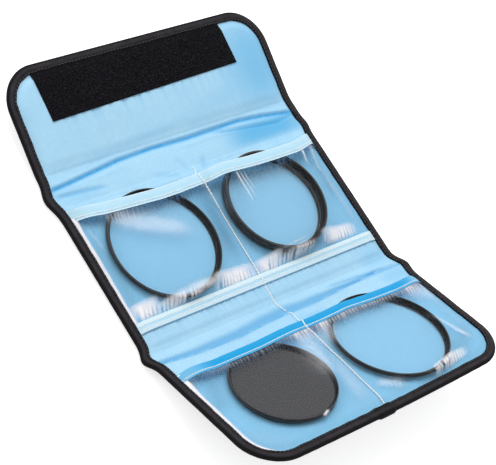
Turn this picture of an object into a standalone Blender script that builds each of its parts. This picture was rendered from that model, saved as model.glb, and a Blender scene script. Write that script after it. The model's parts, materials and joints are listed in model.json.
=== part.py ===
# Lens filter case: a padded trifold wallet lying open, with four clear pockets and the five
# filters that it holds. The middle panel lies flat, the flap and the lower panel rise at
# their folds. X runs across the case, Y towards the flap, Z up. The origin is the middle of
# the middle panel's underside.

import math

import bmesh
import bpy

mm = 0.001

# The case, measured flat
corner_radius = 27.5 * mm
middle_length = 108 * mm
flap_length = 71.2 * mm
lower_length = 94.3 * mm

# The layers that are sewn together
shell_thickness = 0.8 * mm
pad_thickness = 2.4 * mm
lining_thickness = 0.6 * mm
sewn_gap = 0.2 * mm
binding_width = 6.5 * mm
binding_thickness = 0.7 * mm
binding_edge_radius = 0.5 * mm
binding_tip_gap = 0.3 * mm
side_slope_width = 5.5 * mm
fold_slope_width = 4.5 * mm
fold_lip = 0.45 * mm
fold_gap = 0.15 * mm
fold_level_clearance = 0.05 * mm

# How far the raised parts stand off the table, as they lie in the photograph
flap_rest_angle = math.radians(16.25)
lower_rest_angle = math.radians(24)

# The filters, by the diameter of their threads
large_thread = 77 * mm
medium_thread = 72 * mm
small_thread = 67 * mm
large_overhang = 1.5 * mm
medium_overhang = 2.2 * mm
small_overhang = 1 * mm
flange_height = 3.4 * mm
thread_height = 1.6 * mm
thread_play = 0.3 * mm
front_recess_depth = 1.8 * mm
front_recess_play = 0.25 * mm
glass_seat_wall = 0.7 * mm
glass_seat_width = 1.7 * mm
glass_seat_level = 1.2 * mm
glass_thickness = 1.2 * mm
glass_gap = 0.15 * mm
retainer_width = 1.1 * mm
retainer_height = 0.7 * mm
flange_chamfer = 0.35 * mm
grip_depth = 0.4 * mm
grip_width = 0.9 * mm
stack_gap = 0.2 * mm
filter_gap = 0.2 * mm

# The clear pockets and their ribbons
film_thickness = 0.3 * mm
film_slack = 0.5 * mm
film_rim_clearance = 0.8 * mm
film_seam_gap = 0.3 * mm
film_shoulder_width = 5.2 * mm
film_lip_width = 1 * mm
pocket_play = 22.3 * mm
lower_seam_shift = 3.5 * mm
middle_mouth_margin = 2 * mm
middle_mouth_dip = 5 * mm
middle_ribbon_width = 9 * mm
middle_base_margin = 19.8 * mm
base_ribbon_width = 7.1 * mm
lower_mouth_margin = 9.3 * mm
lower_mouth_dip = 3.2 * mm
lower_ribbon_width = 4.8 * mm
ribbon_thickness = 0.6 * mm
ribbon_overhang = 0.3 * mm
ribbon_lift = 0.4 * mm

# Where each filter lies in its pocket: its share of the play across, and its gap to the base
upper_left_across_share = 0.626
upper_left_base_gap = 2.3 * mm
upper_right_across_share = 0.078
upper_right_base_gap = 4.4 * mm
lower_left_across_share = 0.49
lower_left_base_gap = 6.5 * mm
lower_right_across_share = 0.11
lower_right_base_gap = 0.1 * mm

# The hook and loop fastener
fastener_thickness = 1.2 * mm
fastener_length = 31 * mm
fastener_left = 85.5 * mm
fastener_right = 75 * mm
closing_clearance = 0.5 * mm
pocket_clearance = 0.9 * mm

# How finely round shapes are cut
circle_steps = 44
corner_steps = 7
mouth_steps = 12
side_steps = 8

# Levels inside a panel, from its underside
stack_height = shell_thickness + pad_thickness + lining_thickness + 2 * sewn_gap
seam_height = shell_thickness + sewn_gap + lining_thickness
seam_base = (stack_height - seam_height) / 2
fold_level = seam_base + seam_height
lining_rise = stack_height - fold_level
pocket_floor = stack_height + filter_gap

# Sizes that follow from what the closed case has to hold
filter_height = thread_height + flange_height
pair_height = filter_height + flange_height + stack_gap
film_allowance = filter_gap + film_slack + film_thickness
lower_spine_length = (
    pair_height + filter_height + 2 * film_allowance + pocket_clearance + 2 * lining_rise
)
fastener_height = fastener_thickness + sewn_gap
flap_spine_length = (
    lower_spine_length + fold_level + 2 * fastener_height + closing_clearance + lining_rise
)
fastener_top = flap_length - binding_width - binding_tip_gap
fastener_bottom = fastener_top - fastener_length
closed_offset = middle_length - fastener_bottom

# Insets from an outer edge and from a fold
seam_inset = binding_thickness + 2 * sewn_gap
slope_start = binding_width + binding_tip_gap
slope_end = slope_start + side_slope_width
fold_flat = fold_gap + fold_lip
fold_end = fold_flat + fold_slope_width
large_rim = large_thread / 2 + large_overhang + film_rim_clearance
inner_half_width = film_seam_gap + pocket_play + 2 * large_rim
case_width = 2 * (inner_half_width + slope_start)


def material(name, colour, roughness, metallic=0.0, transmission=0.0):
    found = bpy.data.materials.new(name)
    found.use_nodes = True
    shader = found.node_tree.nodes["Principled BSDF"]
    shader.inputs["Base Color"].default_value = (*colour, 1)
    shader.inputs["Roughness"].default_value = roughness
    shader.inputs["Metallic"].default_value = metallic
    shader.inputs["Transmission Weight"].default_value = transmission
    return found


def hinge_empty(name, parent, place, angle):
    empty = bpy.data.objects.new(name, None)
    bpy.context.scene.collection.objects.link(empty)
    empty.parent = parent
    empty.location = place
    empty.rotation_euler = (angle, 0, 0)
    return empty


def finish(bm, name, look, parent, smooth_angle=None):
    bmesh.ops.recalc_face_normals(bm, faces=bm.faces)
    mesh = bpy.data.meshes.new(name)
    bm.to_mesh(mesh)
    bm.free()
    mesh.materials.append(look)
    if smooth_angle is not None:
        mesh.shade_smooth()
        mesh.set_sharp_from_angle(angle=smooth_angle)
    piece = bpy.data.objects.new(name, mesh)
    bpy.context.scene.collection.objects.link(piece)
    piece.parent = parent
    return piece


def bridge(bm, first, second, closed=True):
    count = len(first)
    for i in range(count if closed else count - 1):
        j = (i + 1) % count
        bm.faces.new((first[i], first[j], second[j], second[i]))


def loft(rings, name, look, parent, smooth_angle=None):
    """A closed body through rings of equally many points, capped at both ends."""
    bm = bmesh.new()
    rows = [[bm.verts.new(point) for point in ring] for ring in rings]
    for first, second in zip(rows, rows[1:]):
        bridge(bm, first, second)
    bm.faces.new(rows[0])
    bm.faces.new(rows[-1])
    return finish(bm, name, look, parent, smooth_angle)


def two_sheets(sheets, name, look, parent):
    """A thin closed body: two sheets of rings, creased along the same lines, joined at their edge."""
    bm = bmesh.new()
    edges = []
    for rings in sheets:
        rows = [[bm.verts.new(point) for point in ring] for ring in rings]
        for first, second in zip(rows, rows[1:]):
            for i in range(len(first)):
                j = (i + 1) % len(first)
                bm.faces.new((first[i], first[j], second[j]))
                bm.faces.new((first[i], second[j], second[i]))
        bm.faces.new(rows[0])
        edges.append(rows[-1])
    bridge(bm, *edges)
    return finish(bm, name, look, parent, math.radians(30))


def sweep(rings, name, look, parent):
    """A closed body whose section is each ring in turn, capped at its two ends."""
    return loft(rings, name, look, parent, math.radians(50))


class Panel:
    """One stiff stretch of the case between two folds, or between a fold and the far edge.

    Places in it are x, the distance d from its near fold, and the height above its underside.
    """

    def __init__(self, name, length, heading, parent, far_fold, start=0.0):
        self.name = name
        self.length = length
        self.heading = heading
        self.parent = parent
        self.far_fold = far_fold
        self.start = start

    def at(self, x, d, height):
        return (x, self.heading * (self.start + d), height - self.level())

    def level(self):
        return fold_level if self.parent.parent else 0.0

    def corner_arc(self, inset, side):
        """Points round a far corner from the side edge to the far edge, for an inset outline."""
        radius = max(corner_radius - inset, binding_thickness)
        centre_x = side * (case_width / 2 - inset - radius)
        centre_d = self.length - inset - radius
        turns = [i / corner_steps * math.pi / 2 for i in range(corner_steps + 1)]
        return [
            (centre_x + side * radius * math.cos(a), centre_d + radius * math.sin(a))
            for a in turns
        ]

    def edge_path(self, inset, near_end):
        """The outer edge from the left of the near fold, round the far end, to the right."""
        half = case_width / 2 - inset
        left = self.corner_arc(inset, -1)
        right = self.corner_arc(inset, 1)
        return [(-half, near_end), *left, *reversed(right), (half, near_end)]

    def outline(self, inset, fold_inset, height):
        if self.far_fold:
            half = case_width / 2 - inset
            far = self.length - fold_inset
            flat = [(-half, fold_inset), (-half, far), (half, far), (half, fold_inset)]
        else:
            flat = self.edge_path(inset, fold_inset)
        return [self.at(x, d, height) for x, d in flat]


def fabric_layers(panel, looks):
    """The outer shell, the foam pad and the lining of one panel, pinched together at its edges."""
    shell_inner = seam_base + shell_thickness
    lining_under = fold_level - lining_thickness
    shell = [
        panel.outline(slope_end, fold_end, 0),
        panel.outline(slope_start, fold_flat, seam_base),
        panel.outline(seam_inset, fold_gap, seam_base),
        panel.outline(seam_inset, fold_gap, shell_inner),
        panel.outline(slope_start, fold_flat, shell_inner),
        panel.outline(slope_end - sewn_gap, fold_end - sewn_gap, shell_thickness),
    ]
    loft(shell, "shell_" + panel.name, looks["nylon"], panel.parent, math.radians(30))
    lining = [
        panel.outline(slope_end, fold_end, stack_height - lining_thickness),
        panel.outline(slope_start, fold_flat, lining_under),
        panel.outline(seam_inset, fold_gap, lining_under),
        panel.outline(seam_inset, fold_gap, fold_level),
        panel.outline(slope_start, fold_flat, fold_level),
        panel.outline(slope_end, fold_end, stack_height),
    ]
    loft(lining, "lining_" + panel.name, looks["lining"], panel.parent, math.radians(30))
    pad_inset = slope_start + side_slope_width / 4
    pad_fold = fold_flat + fold_slope_width / 4
    rise = lining_rise / 4
    under = shell_inner - rise + sewn_gap + fold_level_clearance
    over = lining_under + rise - sewn_gap - fold_level_clearance
    pad_low = shell_thickness + sewn_gap
    pad_high = stack_height - lining_thickness - sewn_gap
    pad = [
        panel.outline(slope_end + sewn_gap, fold_end + sewn_gap, pad_low),
        panel.outline(pad_inset, pad_fold, under),
        panel.outline(pad_inset, pad_fold, over),
        panel.outline(slope_end + sewn_gap, fold_end + sewn_gap, pad_high),
    ]
    loft(pad, "pad_" + panel.name, looks["foam"], panel.parent)


def binding_profile():
    """The folded tape's section: inset from the outer edge, and height above the underside."""
    low = seam_base - sewn_gap - binding_thickness
    high = fold_level + sewn_gap + binding_thickness
    bend = binding_edge_radius
    inner = binding_thickness
    return [
        (binding_width, high),
        (bend, high),
        (0, high - bend),
        (0, low + bend),
        (bend, low),
        (binding_width, low),
        (binding_width, low + binding_thickness),
        (inner, low + binding_thickness),
        (inner, high - binding_thickness),
        (binding_width, high - binding_thickness),
    ]


def mitre(height):
    """How far a tape stops short of a fold, so that it stays clear when the fold closes."""
    return fold_gap + max(0, height - fold_level)


def bindings(panel, looks):
    profile = binding_profile()
    if not panel.far_fold:
        paths = [panel.edge_path(inset, mitre(height)) for inset, height in profile]
        rings = [
            [panel.at(*paths[k][i], profile[k][1]) for k in range(len(profile))]
            for i in range(len(paths[0]))
        ]
        sweep(rings, "binding_" + panel.name, looks["binding"], panel.parent)
        return
    for side, word in ((-1, "left"), (1, "right")):
        near = [
            panel.at(side * (case_width / 2 - inset), mitre(height), height)
            for inset, height in profile
        ]
        far = [
            panel.at(side * (case_width / 2 - inset), panel.length - mitre(height), height)
            for inset, height in profile
        ]
        name = "binding_" + panel.name + "_" + word
        sweep([near, far], name, looks["binding"], panel.parent)


def lining_top(x):
    """Height of the lining's face beside the middle of a panel, by the distance from the side."""
    reach = (abs(x) - (case_width / 2 - slope_end)) / side_slope_width
    return stack_height - lining_rise * min(max(reach, 0), 1)


class Pocket:
    """One clear pocket: a film drawn over its filter, sewn down on three sides, open at its mouth.

    Places in it are x and v, which grows towards the mouth. The film is level over the filter
    and over the way that the filter takes out of the mouth.
    """

    def __init__(self, name, panel, side, seam, filter_sizes, place, sizes):
        self.name = name
        self.panel = panel
        self.side = side
        self.thread, self.overhang, held_height = filter_sizes
        self.rim = self.thread / 2 + self.overhang + film_rim_clearance
        self.top = pocket_floor + held_height + film_slack
        self.mouth_end, self.dip, self.base, self.base_corner = sizes
        self.inner = side * seam + film_seam_gap
        across_share, base_gap = place
        play = inner_half_width - self.inner - 2 * self.rim
        self.level_start = self.inner + play * across_share
        self.level_end = self.level_start + 2 * self.rim
        self.centre = side * (self.level_start + self.rim), self.base + base_gap + self.rim

    def d(self, v):
        """The distance from the panel's near fold: the middle panel's mouths face the flap."""
        return v + middle_length / 2 if self.panel.name == "middle" else -v

    def at(self, x, v, height):
        return self.panel.at(x, self.d(v), height)

    def mouth(self, x):
        share = (self.side * x - self.inner) / (inner_half_width - self.inner)
        return self.mouth_end - self.dip * math.sin(math.pi * min(max(share, 0), 1)) ** 2

    def foot(self, x):
        return lining_top(x) + sewn_gap

    def mouth_height(self, x):
        """The film's underside across the mouth: level over the filter, sloping to the seams."""
        across = self.side * x
        inner = (across - self.inner) / (self.level_start - self.inner)
        outer = (inner_half_width - across) / (inner_half_width - self.level_end)
        rise = min(inner, outer, 1)
        low = self.foot(self.inner if inner < outer else inner_half_width)
        return low + (self.top - low) * max(rise, 0)

    def mouth_places(self):
        """Places across the pocket, from the middle seam, where the mouth's edge has a point."""
        start, end = self.level_start, self.level_end
        level = [start + (end - start) * i / mouth_steps for i in range(mouth_steps + 1)]
        return [self.side * across for across in (self.inner, *level, inner_half_width)]

    def base_height(self, x):
        """The closed end is sewn to the lining, or in the lower pockets beside the far binding."""
        return fold_level + sewn_gap if self.base_corner else self.foot(x)

    def edge_points(self):
        """The film's sewn edge, from the middle seam along the mouth and round: x, v, height."""
        side = self.side
        inner = self.inner
        outer = inner_half_width
        points = [(x, self.mouth(x), self.mouth_height(x)) for x in self.mouth_places()]
        radius = self.base_corner
        start = self.mouth_end
        end = self.base + radius
        for i in range(1, side_steps + 1):
            v = start + (end - start) * i / side_steps
            points.append((side * outer, v, self.foot(outer)))
        if radius:
            for i in range(1, corner_steps + 1):
                turn = i / corner_steps * math.pi / 2
                across = outer - radius + radius * math.cos(turn)
                v = self.base + radius - radius * math.sin(turn)
                points.append((side * across, v, self.foot(outer)))
        last = min(outer - radius, outer - film_shoulder_width)
        first = 1 if radius else 0
        for i in range(first, mouth_steps + 1):
            across = last + (inner - last) * i / mouth_steps
            points.append((side * across, self.base, self.base_height(across)))
        shoulder = self.base + film_shoulder_width
        for i in range(side_steps):
            v = shoulder + (start - shoulder) * i / side_steps
            points.append((side * inner, v, self.foot(inner)))
        return points

    def rim_point(self, x, v):
        """Where the level part ends, on the way from the filter's middle to an edge point."""
        cx, cv = self.centre
        if v > cv:
            level_x = min(max(x, cx - self.rim), cx + self.rim)
            lips = 1 if level_x == x else 2
            return level_x, min(v, self.mouth(level_x) - lips * film_lip_width)
        share = self.rim / math.hypot(x - cx, v - cv)
        return cx + (x - cx) * share, cv + (v - cv) * share

    def film(self, looks):
        rim_ring, shoulder_ring, edge_ring = [], [], []
        for x, v, height in self.edge_points():
            rim_x, rim_v = self.rim_point(x, v)
            share = min(film_shoulder_width / math.hypot(x - rim_x, v - rim_v), 1 / 2)
            level = max(height + (self.top - height) * share, pocket_floor)
            rim_ring.append((rim_x, rim_v, self.top))
            shoulder_ring.append((x + (rim_x - x) * share, v + (rim_v - v) * share, level))
            edge_ring.append((x, v, height))
        sheets = []
        for rise in (0, film_thickness):
            rings = (rim_ring, shoulder_ring, edge_ring)
            sheets.append([[self.at(x, v, height + rise) for x, v, height in r] for r in rings])
        two_sheets(sheets, "film_" + self.name, looks["film"], self.panel.parent)


def mouth_ribbon(name, pockets, width, looks):
    """The ribbon along the mouths of a row of two pockets, sewn on top of the films."""
    left, right = pockets
    places = [(left, x) for x in reversed(left.mouth_places())]
    places += [(right, x) for x in right.mouth_places()]
    rings = []
    for pocket, x in places:
        low = pocket.mouth_height(x) + film_thickness + ribbon_lift
        high = low + ribbon_thickness
        outer = pocket.mouth(x) + ribbon_overhang
        inner = outer - width
        section = [(outer, low), (inner, low), (inner, high), (outer, high)]
        rings.append([pocket.at(x, v, height) for v, height in section])
    loft(rings, name, looks["ribbon"], left.panel.parent, math.radians(30))


def flat_strip(panel, places, ends, thickness, name, look):
    """A strip across a panel: its section's places are the distance d and the underside's height."""
    left, right = ends
    under = [(d, height) for d, height in places]
    over = [(d, height + thickness) for d, height in reversed(places)]
    rings = [[panel.at(x, d, height) for d, height in under + over] for x in (left, right)]
    loft(rings, name, look, panel.parent)


def base_ribbon(panel, looks):
    """The ribbon over the closed ends of the middle pockets, dipping at its ends to the binding."""
    start = middle_base_margin - film_seam_gap
    edge = inner_half_width
    shoulder = case_width / 2 - slope_end
    rings = []
    for x in (-edge, -shoulder, shoulder, edge):
        low = lining_top(x) + sewn_gap
        rings.append(
            [
                panel.at(x, start, low),
                panel.at(x, start - base_ribbon_width, low),
                panel.at(x, start - base_ribbon_width, low + ribbon_thickness),
                panel.at(x, start, low + ribbon_thickness),
            ]
        )
    loft(rings, "base_ribbon_middle", looks["ribbon"], panel.parent)


def turned(profile, centre, base, name, look, parent, panel):
    """A ring made by turning a closed profile of radius and height about the filter's axis."""
    cx, cd = centre
    bm = bmesh.new()
    columns = []
    for i in range(circle_steps):
        turn = 2 * math.pi * i / circle_steps
        c, s = math.cos(turn), math.sin(turn)
        columns.append(
            [bm.verts.new(panel.at(cx + r * c, cd + r * s, base + z)) for r, z in profile]
        )
    for i in range(circle_steps):
        bridge(bm, columns[i], columns[(i + 1) % circle_steps])
    return finish(bm, name, look, parent, math.radians(30))


def disc(radius, low, high, centre, base, name, look, parent, panel):
    cx, cd = centre
    rings = []
    for height in (low, high):
        ring = []
        for i in range(circle_steps):
            turn = 2 * math.pi * i / circle_steps
            x, d = cx + radius * math.cos(turn), cd + radius * math.sin(turn)
            ring.append(panel.at(x, d, base + height))
        rings.append(ring)
    return loft(rings, name, look, parent, math.radians(30))


def lens_filter(name, pocket, base, glass_look, looks):
    """A screw-in filter lying front side up: a ring with a threaded stub, its glass, its retainer."""
    panel = pocket.panel
    centre = (pocket.centre[0], pocket.d(pocket.centre[1]))
    stub = pocket.thread / 2 - thread_play
    flange = pocket.thread / 2 + pocket.overhang
    recess = stub + front_recess_play
    seat = stub - glass_seat_wall
    bore = seat - glass_seat_width
    chamfer = flange_chamfer
    floor = filter_height - front_recess_depth
    grip_low = thread_height + (flange_height - grip_width) / 2
    profile = [
        (bore, 0),
        (stub, 0),
        (stub, thread_height),
        (flange - chamfer, thread_height),
        (flange, thread_height + chamfer),
        (flange, grip_low),
        (flange - grip_depth, grip_low + grip_width / 2),
        (flange, grip_low + grip_width),
        (flange, filter_height - chamfer),
        (flange - chamfer, filter_height),
        (recess, filter_height),
        (recess, floor),
        (seat, floor),
        (seat, glass_seat_level),
        (bore, glass_seat_level),
    ]
    turned(profile, centre, base, name + "_ring", looks["ring"], panel.parent, panel)
    glass_low = glass_seat_level + glass_gap
    glass_high = glass_low + glass_thickness
    edge = seat - 2 * glass_gap
    disc(edge, glass_low, glass_high, centre, base, name + "_glass", glass_look,
         panel.parent, panel)
    low = glass_high + glass_gap
    high = low + retainer_height
    inner = edge - retainer_width
    profile = [(inner, low), (edge, low), (edge, high), (inner, high)]
    turned(profile, centre, base, name + "_retainer", looks["ring"], panel.parent, panel)


def looks_of_parts():
    return {
        "nylon": material("outer_nylon", (0.012, 0.012, 0.014), 0.75),
        "binding": material("binding_tape", (0.014, 0.013, 0.015), 0.7),
        "lining": material("blue_lining", (0.27, 0.57, 0.85), 0.55),
        "foam": material("foam", (0.5, 0.5, 0.5), 0.9),
        "film": material("clear_film", (0.9, 0.95, 1.0), 0.08, 0, 1.0),
        "ribbon": material("pocket_ribbon", (0.35, 0.68, 0.92), 0.5),
        "hook": material("hook_tape", (0.01, 0.01, 0.011), 0.9),
        "loop": material("loop_tape", (0.012, 0.012, 0.013), 0.95),
        "ring": material("anodised_ring", (0.015, 0.014, 0.014), 0.35, 1.0),
        "clear": material("clear_glass", (0.95, 0.98, 1.0), 0.02, 0, 1.0),
        "dark": material("grey_glass", (0.09, 0.09, 0.1), 0.1),
    }


def build():
    for leftover in list(bpy.data.objects):
        bpy.data.objects.remove(leftover)
    looks = looks_of_parts()

    case = hinge_empty("case", None, (0, 0, 0), 0)
    fold = middle_length / 2
    flap_spine_fold = hinge_empty("flap_spine_fold", case, (0, fold, fold_level), 0)
    flap_fold = hinge_empty(
        "flap_fold", flap_spine_fold, (0, flap_spine_length, 0), flap_rest_angle
    )
    lower_spine_fold = hinge_empty(
        "lower_spine_fold", case, (0, -fold, fold_level), -lower_rest_angle
    )
    lower_fold = hinge_empty("lower_fold", lower_spine_fold, (0, -lower_spine_length, 0), 0)

    middle = Panel("middle", middle_length, 1, case, True, -fold)
    flap_spine = Panel("flap_spine", flap_spine_length, 1, flap_spine_fold, True)
    flap = Panel("flap", flap_length, 1, flap_fold, False)
    lower_spine = Panel("lower_spine", lower_spine_length, -1, lower_spine_fold, True)
    lower = Panel("lower", lower_length, -1, lower_fold, False)
    for panel in (middle, flap_spine, flap, lower_spine, lower):
        fabric_layers(panel, looks)
        bindings(panel, looks)

    large = (large_thread, large_overhang, filter_height)
    pair = (medium_thread, medium_overhang, pair_height)
    small = (small_thread, small_overhang, filter_height)
    mouth = fold - middle_mouth_margin
    middle_sizes = (mouth, middle_mouth_dip, middle_base_margin - fold, 0)
    far = lower_length - slope_start
    lower_sizes = (-lower_mouth_margin, lower_mouth_dip, -far, corner_radius - slope_start)
    place = upper_left_across_share, upper_left_base_gap
    upper_left = Pocket("middle_left", middle, -1, 0, large, place, middle_sizes)
    place = upper_right_across_share, upper_right_base_gap
    upper_right = Pocket("middle_right", middle, 1, 0, pair, place, middle_sizes)
    place = lower_left_across_share, lower_left_base_gap
    seam = -lower_seam_shift
    lower_left = Pocket("lower_left", lower, -1, seam, small, place, lower_sizes)
    place = lower_right_across_share, lower_right_base_gap
    lower_right = Pocket("lower_right", lower, 1, seam, large, place, lower_sizes)
    for pocket in (upper_left, upper_right, lower_left, lower_right):
        pocket.film(looks)
    mouth_ribbon("mouth_ribbon_middle", (upper_left, upper_right), middle_ribbon_width, looks)
    mouth_ribbon("mouth_ribbon_lower", (lower_left, lower_right), lower_ribbon_width, looks)
    base_ribbon(middle, looks)

    bend = flap_length - slope_end
    hook = [
        (fastener_bottom, stack_height + sewn_gap),
        (bend, stack_height + sewn_gap),
        (fastener_top, fold_level + sewn_gap),
    ]
    ends = (-fastener_left, fastener_right)
    flat_strip(flap, hook, ends, fastener_thickness, "hook_strip", looks["hook"])
    near = closed_offset - fastener_length
    loop = [(near, -fastener_height), (near + fastener_length, -fastener_height)]
    flat_strip(lower, loop, ends, fastener_thickness, "loop_strip", looks["loop"])

    floor = pocket_floor
    lens_filter("clear_filter_left", upper_left, floor, looks["clear"], looks)
    lens_filter("pair_filter_lower", upper_right, floor, looks["clear"], looks)
    stacked = floor + flange_height + stack_gap
    lens_filter("pair_filter_upper", upper_right, stacked, looks["clear"], looks)
    lens_filter("grey_filter", lower_left, floor, looks["dark"], looks)
    lens_filter("clear_filter_right", lower_right, floor, looks["clear"], looks)


build()
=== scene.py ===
import json
import math
import random

import bmesh
import bpy
import numpy as np
from mathutils import Matrix, Vector


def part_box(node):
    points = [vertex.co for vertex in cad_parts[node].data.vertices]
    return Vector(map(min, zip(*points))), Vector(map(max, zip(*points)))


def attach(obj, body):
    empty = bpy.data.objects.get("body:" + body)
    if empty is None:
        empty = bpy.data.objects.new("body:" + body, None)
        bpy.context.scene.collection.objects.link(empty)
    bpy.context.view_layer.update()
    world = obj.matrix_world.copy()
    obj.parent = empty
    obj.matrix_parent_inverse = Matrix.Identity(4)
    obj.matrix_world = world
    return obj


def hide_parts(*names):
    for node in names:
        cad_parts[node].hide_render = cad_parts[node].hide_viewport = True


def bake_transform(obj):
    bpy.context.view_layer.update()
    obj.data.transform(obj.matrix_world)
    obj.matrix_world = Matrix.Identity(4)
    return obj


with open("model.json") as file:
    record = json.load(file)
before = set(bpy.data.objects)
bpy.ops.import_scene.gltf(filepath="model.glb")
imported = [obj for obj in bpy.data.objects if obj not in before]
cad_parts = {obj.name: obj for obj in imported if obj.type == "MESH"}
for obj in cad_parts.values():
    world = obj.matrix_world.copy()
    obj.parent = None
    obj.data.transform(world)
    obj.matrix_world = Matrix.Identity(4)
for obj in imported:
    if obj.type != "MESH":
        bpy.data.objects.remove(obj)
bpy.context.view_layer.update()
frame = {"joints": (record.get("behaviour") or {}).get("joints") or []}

# Flat places on the opened case are in millimetres: x across it, v along it from the middle
# of the middle panel towards the flap, h above the panels' underside.
mm = 0.001
hinges = {joint["name"]: joint for joint in frame["joints"]}
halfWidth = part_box("binding_middle_right")[1].x / mm


def hingeAt(name):
    x, y, z = hinges[name]["pos_m"]
    return Vector((x, y, z)) / mm


upperFold = hingeAt("flap_spine_fold").y
flapFold = hingeAt("flap_fold").y
lowerFold = hingeAt("lower_spine_fold").y
lowerFarFold = lowerFold - (hingeAt("lower_fold") - hingeAt("lower_spine_fold")).length
foldLevel = hingeAt("flap_fold").z
flapRise = math.radians(hinges["flap_fold"]["range_deg"][1])
lowerRise = math.radians(hinges["lower_spine_fold"]["range_deg"][1])

caseShape = {
    "cornerRadius": 27.5,
    "flapEnd": flapFold + 71.2,
    "lowerEnd": lowerFarFold - 94.3,
    "foldSoftness": 5.0,       # half the length over which a fold turns
    "padTop": 4.2,
    "edgeTop": foldLevel,
    "tapeWidth": 6.5,
    "slopeWidth": 5.5,
    "bottomBow": 2.0,          # how far the lower edge bows out in its middle
}

# Where the folded-over edges push the outline out: side, place along the case, reach, width
edgeBulges = [(-1, 63, 3.6, 9), (1, 58, 1.2, 5), (-1, -58, 3.6, 6), (1, -66, 3.2, 7)]


def smooth(t):
    t = np.clip(t, 0, 1)
    return t * t * (3 - 2 * t)


def bell(t):
    return np.exp(-t * t)


def neutralLine():
    # the case's fold line from end to end, walked outwards from the middle
    step = 0.1
    v = np.arange(-185, 170, step)
    soft = caseShape["foldSoftness"]
    up = smooth((v - flapFold + soft) / (2 * soft)) * flapRise
    down = smooth((lowerFold + soft - v) / (2 * soft)) * lowerRise
    angle = up - down
    y = np.cumsum(np.cos(angle)) * step
    z = np.cumsum(np.sin(angle)) * step
    start = np.argmin(np.abs(v))
    return v, y - y[start], z - z[start] + foldLevel, angle


lineV, lineY, lineZ, lineAngle = neutralLine()


def lowerEdgeShift(x, v):
    return -caseShape["bottomBow"] * (1 - (x / halfWidth) ** 2) * smooth((-v - 140) / 27)


def place(x, v, h):
    # flat places to the opened case in metres
    x, v, h = np.broadcast_arrays(*(np.asarray(a, float) for a in (x, v, h)))
    push = np.zeros(x.shape)
    for side, at, reach, width in edgeBulges:
        push += side * reach * bell((v - at) / width) * smooth((side * x / halfWidth - 0.6) / 0.4)
    v = v + lowerEdgeShift(x, v)
    angle = np.interp(v, lineV, lineAngle)
    rise = h - foldLevel
    y = np.interp(v, lineV, lineY) - rise * np.sin(angle)
    z = np.interp(v, lineV, lineZ) + rise * np.cos(angle)
    return np.stack([x + push, y, z], -1) * mm


def flatPlace(point):
    # a point of the frame in metres to its flat place
    x, y, z = point[0] / mm, point[1] / mm, point[2] / mm
    if y > lowerFold:
        return x, y, z
    c, s = math.cos(lowerRise), math.sin(lowerRise)
    out, up = lowerFold - y, z - foldLevel
    return x, lowerFold - out * c - up * s, foldLevel - out * s + up * c


def edgeDistance(x, v):
    # how far inside the outline a flat place is
    r = caseShape["cornerRadius"]
    side = halfWidth - np.abs(x)
    inside = side
    for end, way in ((caseShape["flapEnd"], 1), (caseShape["lowerEnd"], -1)):
        ahead = (end - v) * way
        cornerX, cornerV = r - side, r - ahead
        corner = r - np.hypot(np.maximum(cornerX, 0), np.maximum(cornerV, 0))
        inside = np.minimum(inside, np.where((cornerX > 0) & (cornerV > 0), corner, ahead))
    return inside


def halfWidthAt(v, inset):
    # half the width of the outline, drawn in by inset
    r = caseShape["cornerRadius"] - inset
    half = halfWidth - inset
    top = np.clip(v - (caseShape["flapEnd"] - inset - r), 0, r)
    low = np.clip(caseShape["lowerEnd"] + inset + r - v, 0, r)
    return half - r + np.sqrt(r * r - np.maximum(top, low) ** 2)


def lineDistance(x, v, path):
    # signed distance from flat places to a line of flat points that runs across the case
    xs = np.array([p[0] for p in path], float)
    vs = np.array([p[1] for p in path], float)
    slope = np.gradient(vs, xs)
    return (v - np.interp(x, xs, vs)) / np.sqrt(1 + np.interp(x, xs, slope) ** 2)


def ridges(x, row):
    # uneven ridges and furrows along a row, about one per pitch
    dice = random.Random(row["seed"])
    spot, end = row["span"]
    total = np.zeros(np.shape(x))
    sign = 1
    while spot < end:
        width = row["pitch"] * dice.uniform(0.22, 0.42)
        total += sign * dice.uniform(0.35, 1) * bell((x - spot) / width)
        spot += row["pitch"] * dice.uniform(0.35, 0.75)
        sign = -sign if dice.random() < 0.85 else sign
    return total


def puckers(x, v, row):
    # short folds that start at a seam and die away from it
    away = (v - np.interp(x, *zip(*row["seam"]))) * row["way"]
    fade = np.where(away >= 0, np.exp(-np.maximum(away, 0) / row["length"]), 0)
    return row["height"] * ridges(x, row) * fade * smooth(away / row.get("start", 0.8))


def waves(x, v, seed, wavelength):
    # slow uneven swells: a few waves that run in all directions
    dice = random.Random(seed)
    total = np.zeros(np.shape(x))
    count = 9
    for _ in range(count):
        turn = dice.uniform(0, 2 * math.pi)
        pace = 2 * math.pi / (wavelength * dice.uniform(0.6, 1.8))
        along = x * math.cos(turn) + v * math.sin(turn)
        total += np.sin(along * pace + dice.uniform(0, 2 * math.pi))
    return total / math.sqrt(count)


def finishMesh(bm, name, look):
    mesh = bpy.data.meshes.new(name)
    bm.to_mesh(mesh)
    bm.free()
    piece = bpy.data.objects.new(name, mesh)
    bpy.context.scene.collection.objects.link(piece)
    mesh.materials.append(look)
    mesh.shade_smooth()
    return piece


def coordinates(piece):
    co = np.zeros(len(piece.data.vertices) * 3)
    piece.data.vertices.foreach_get("co", co)
    return co.reshape(-1, 3)


def setCoordinates(piece, co):
    piece.data.vertices.foreach_set("co", np.asarray(co, np.float32).ravel())
    piece.data.update()


def addUv(piece, uv):
    # one flat place in centimetres for each corner, so that a weave follows the cloth
    layer = piece.data.uv_layers.new(name="flat")
    corner = np.zeros(len(piece.data.loops), int)
    piece.data.loops.foreach_get("vertex_index", corner)
    layer.data.foreach_set("uv", np.asarray(uv, np.float32)[corner].ravel())


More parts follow.
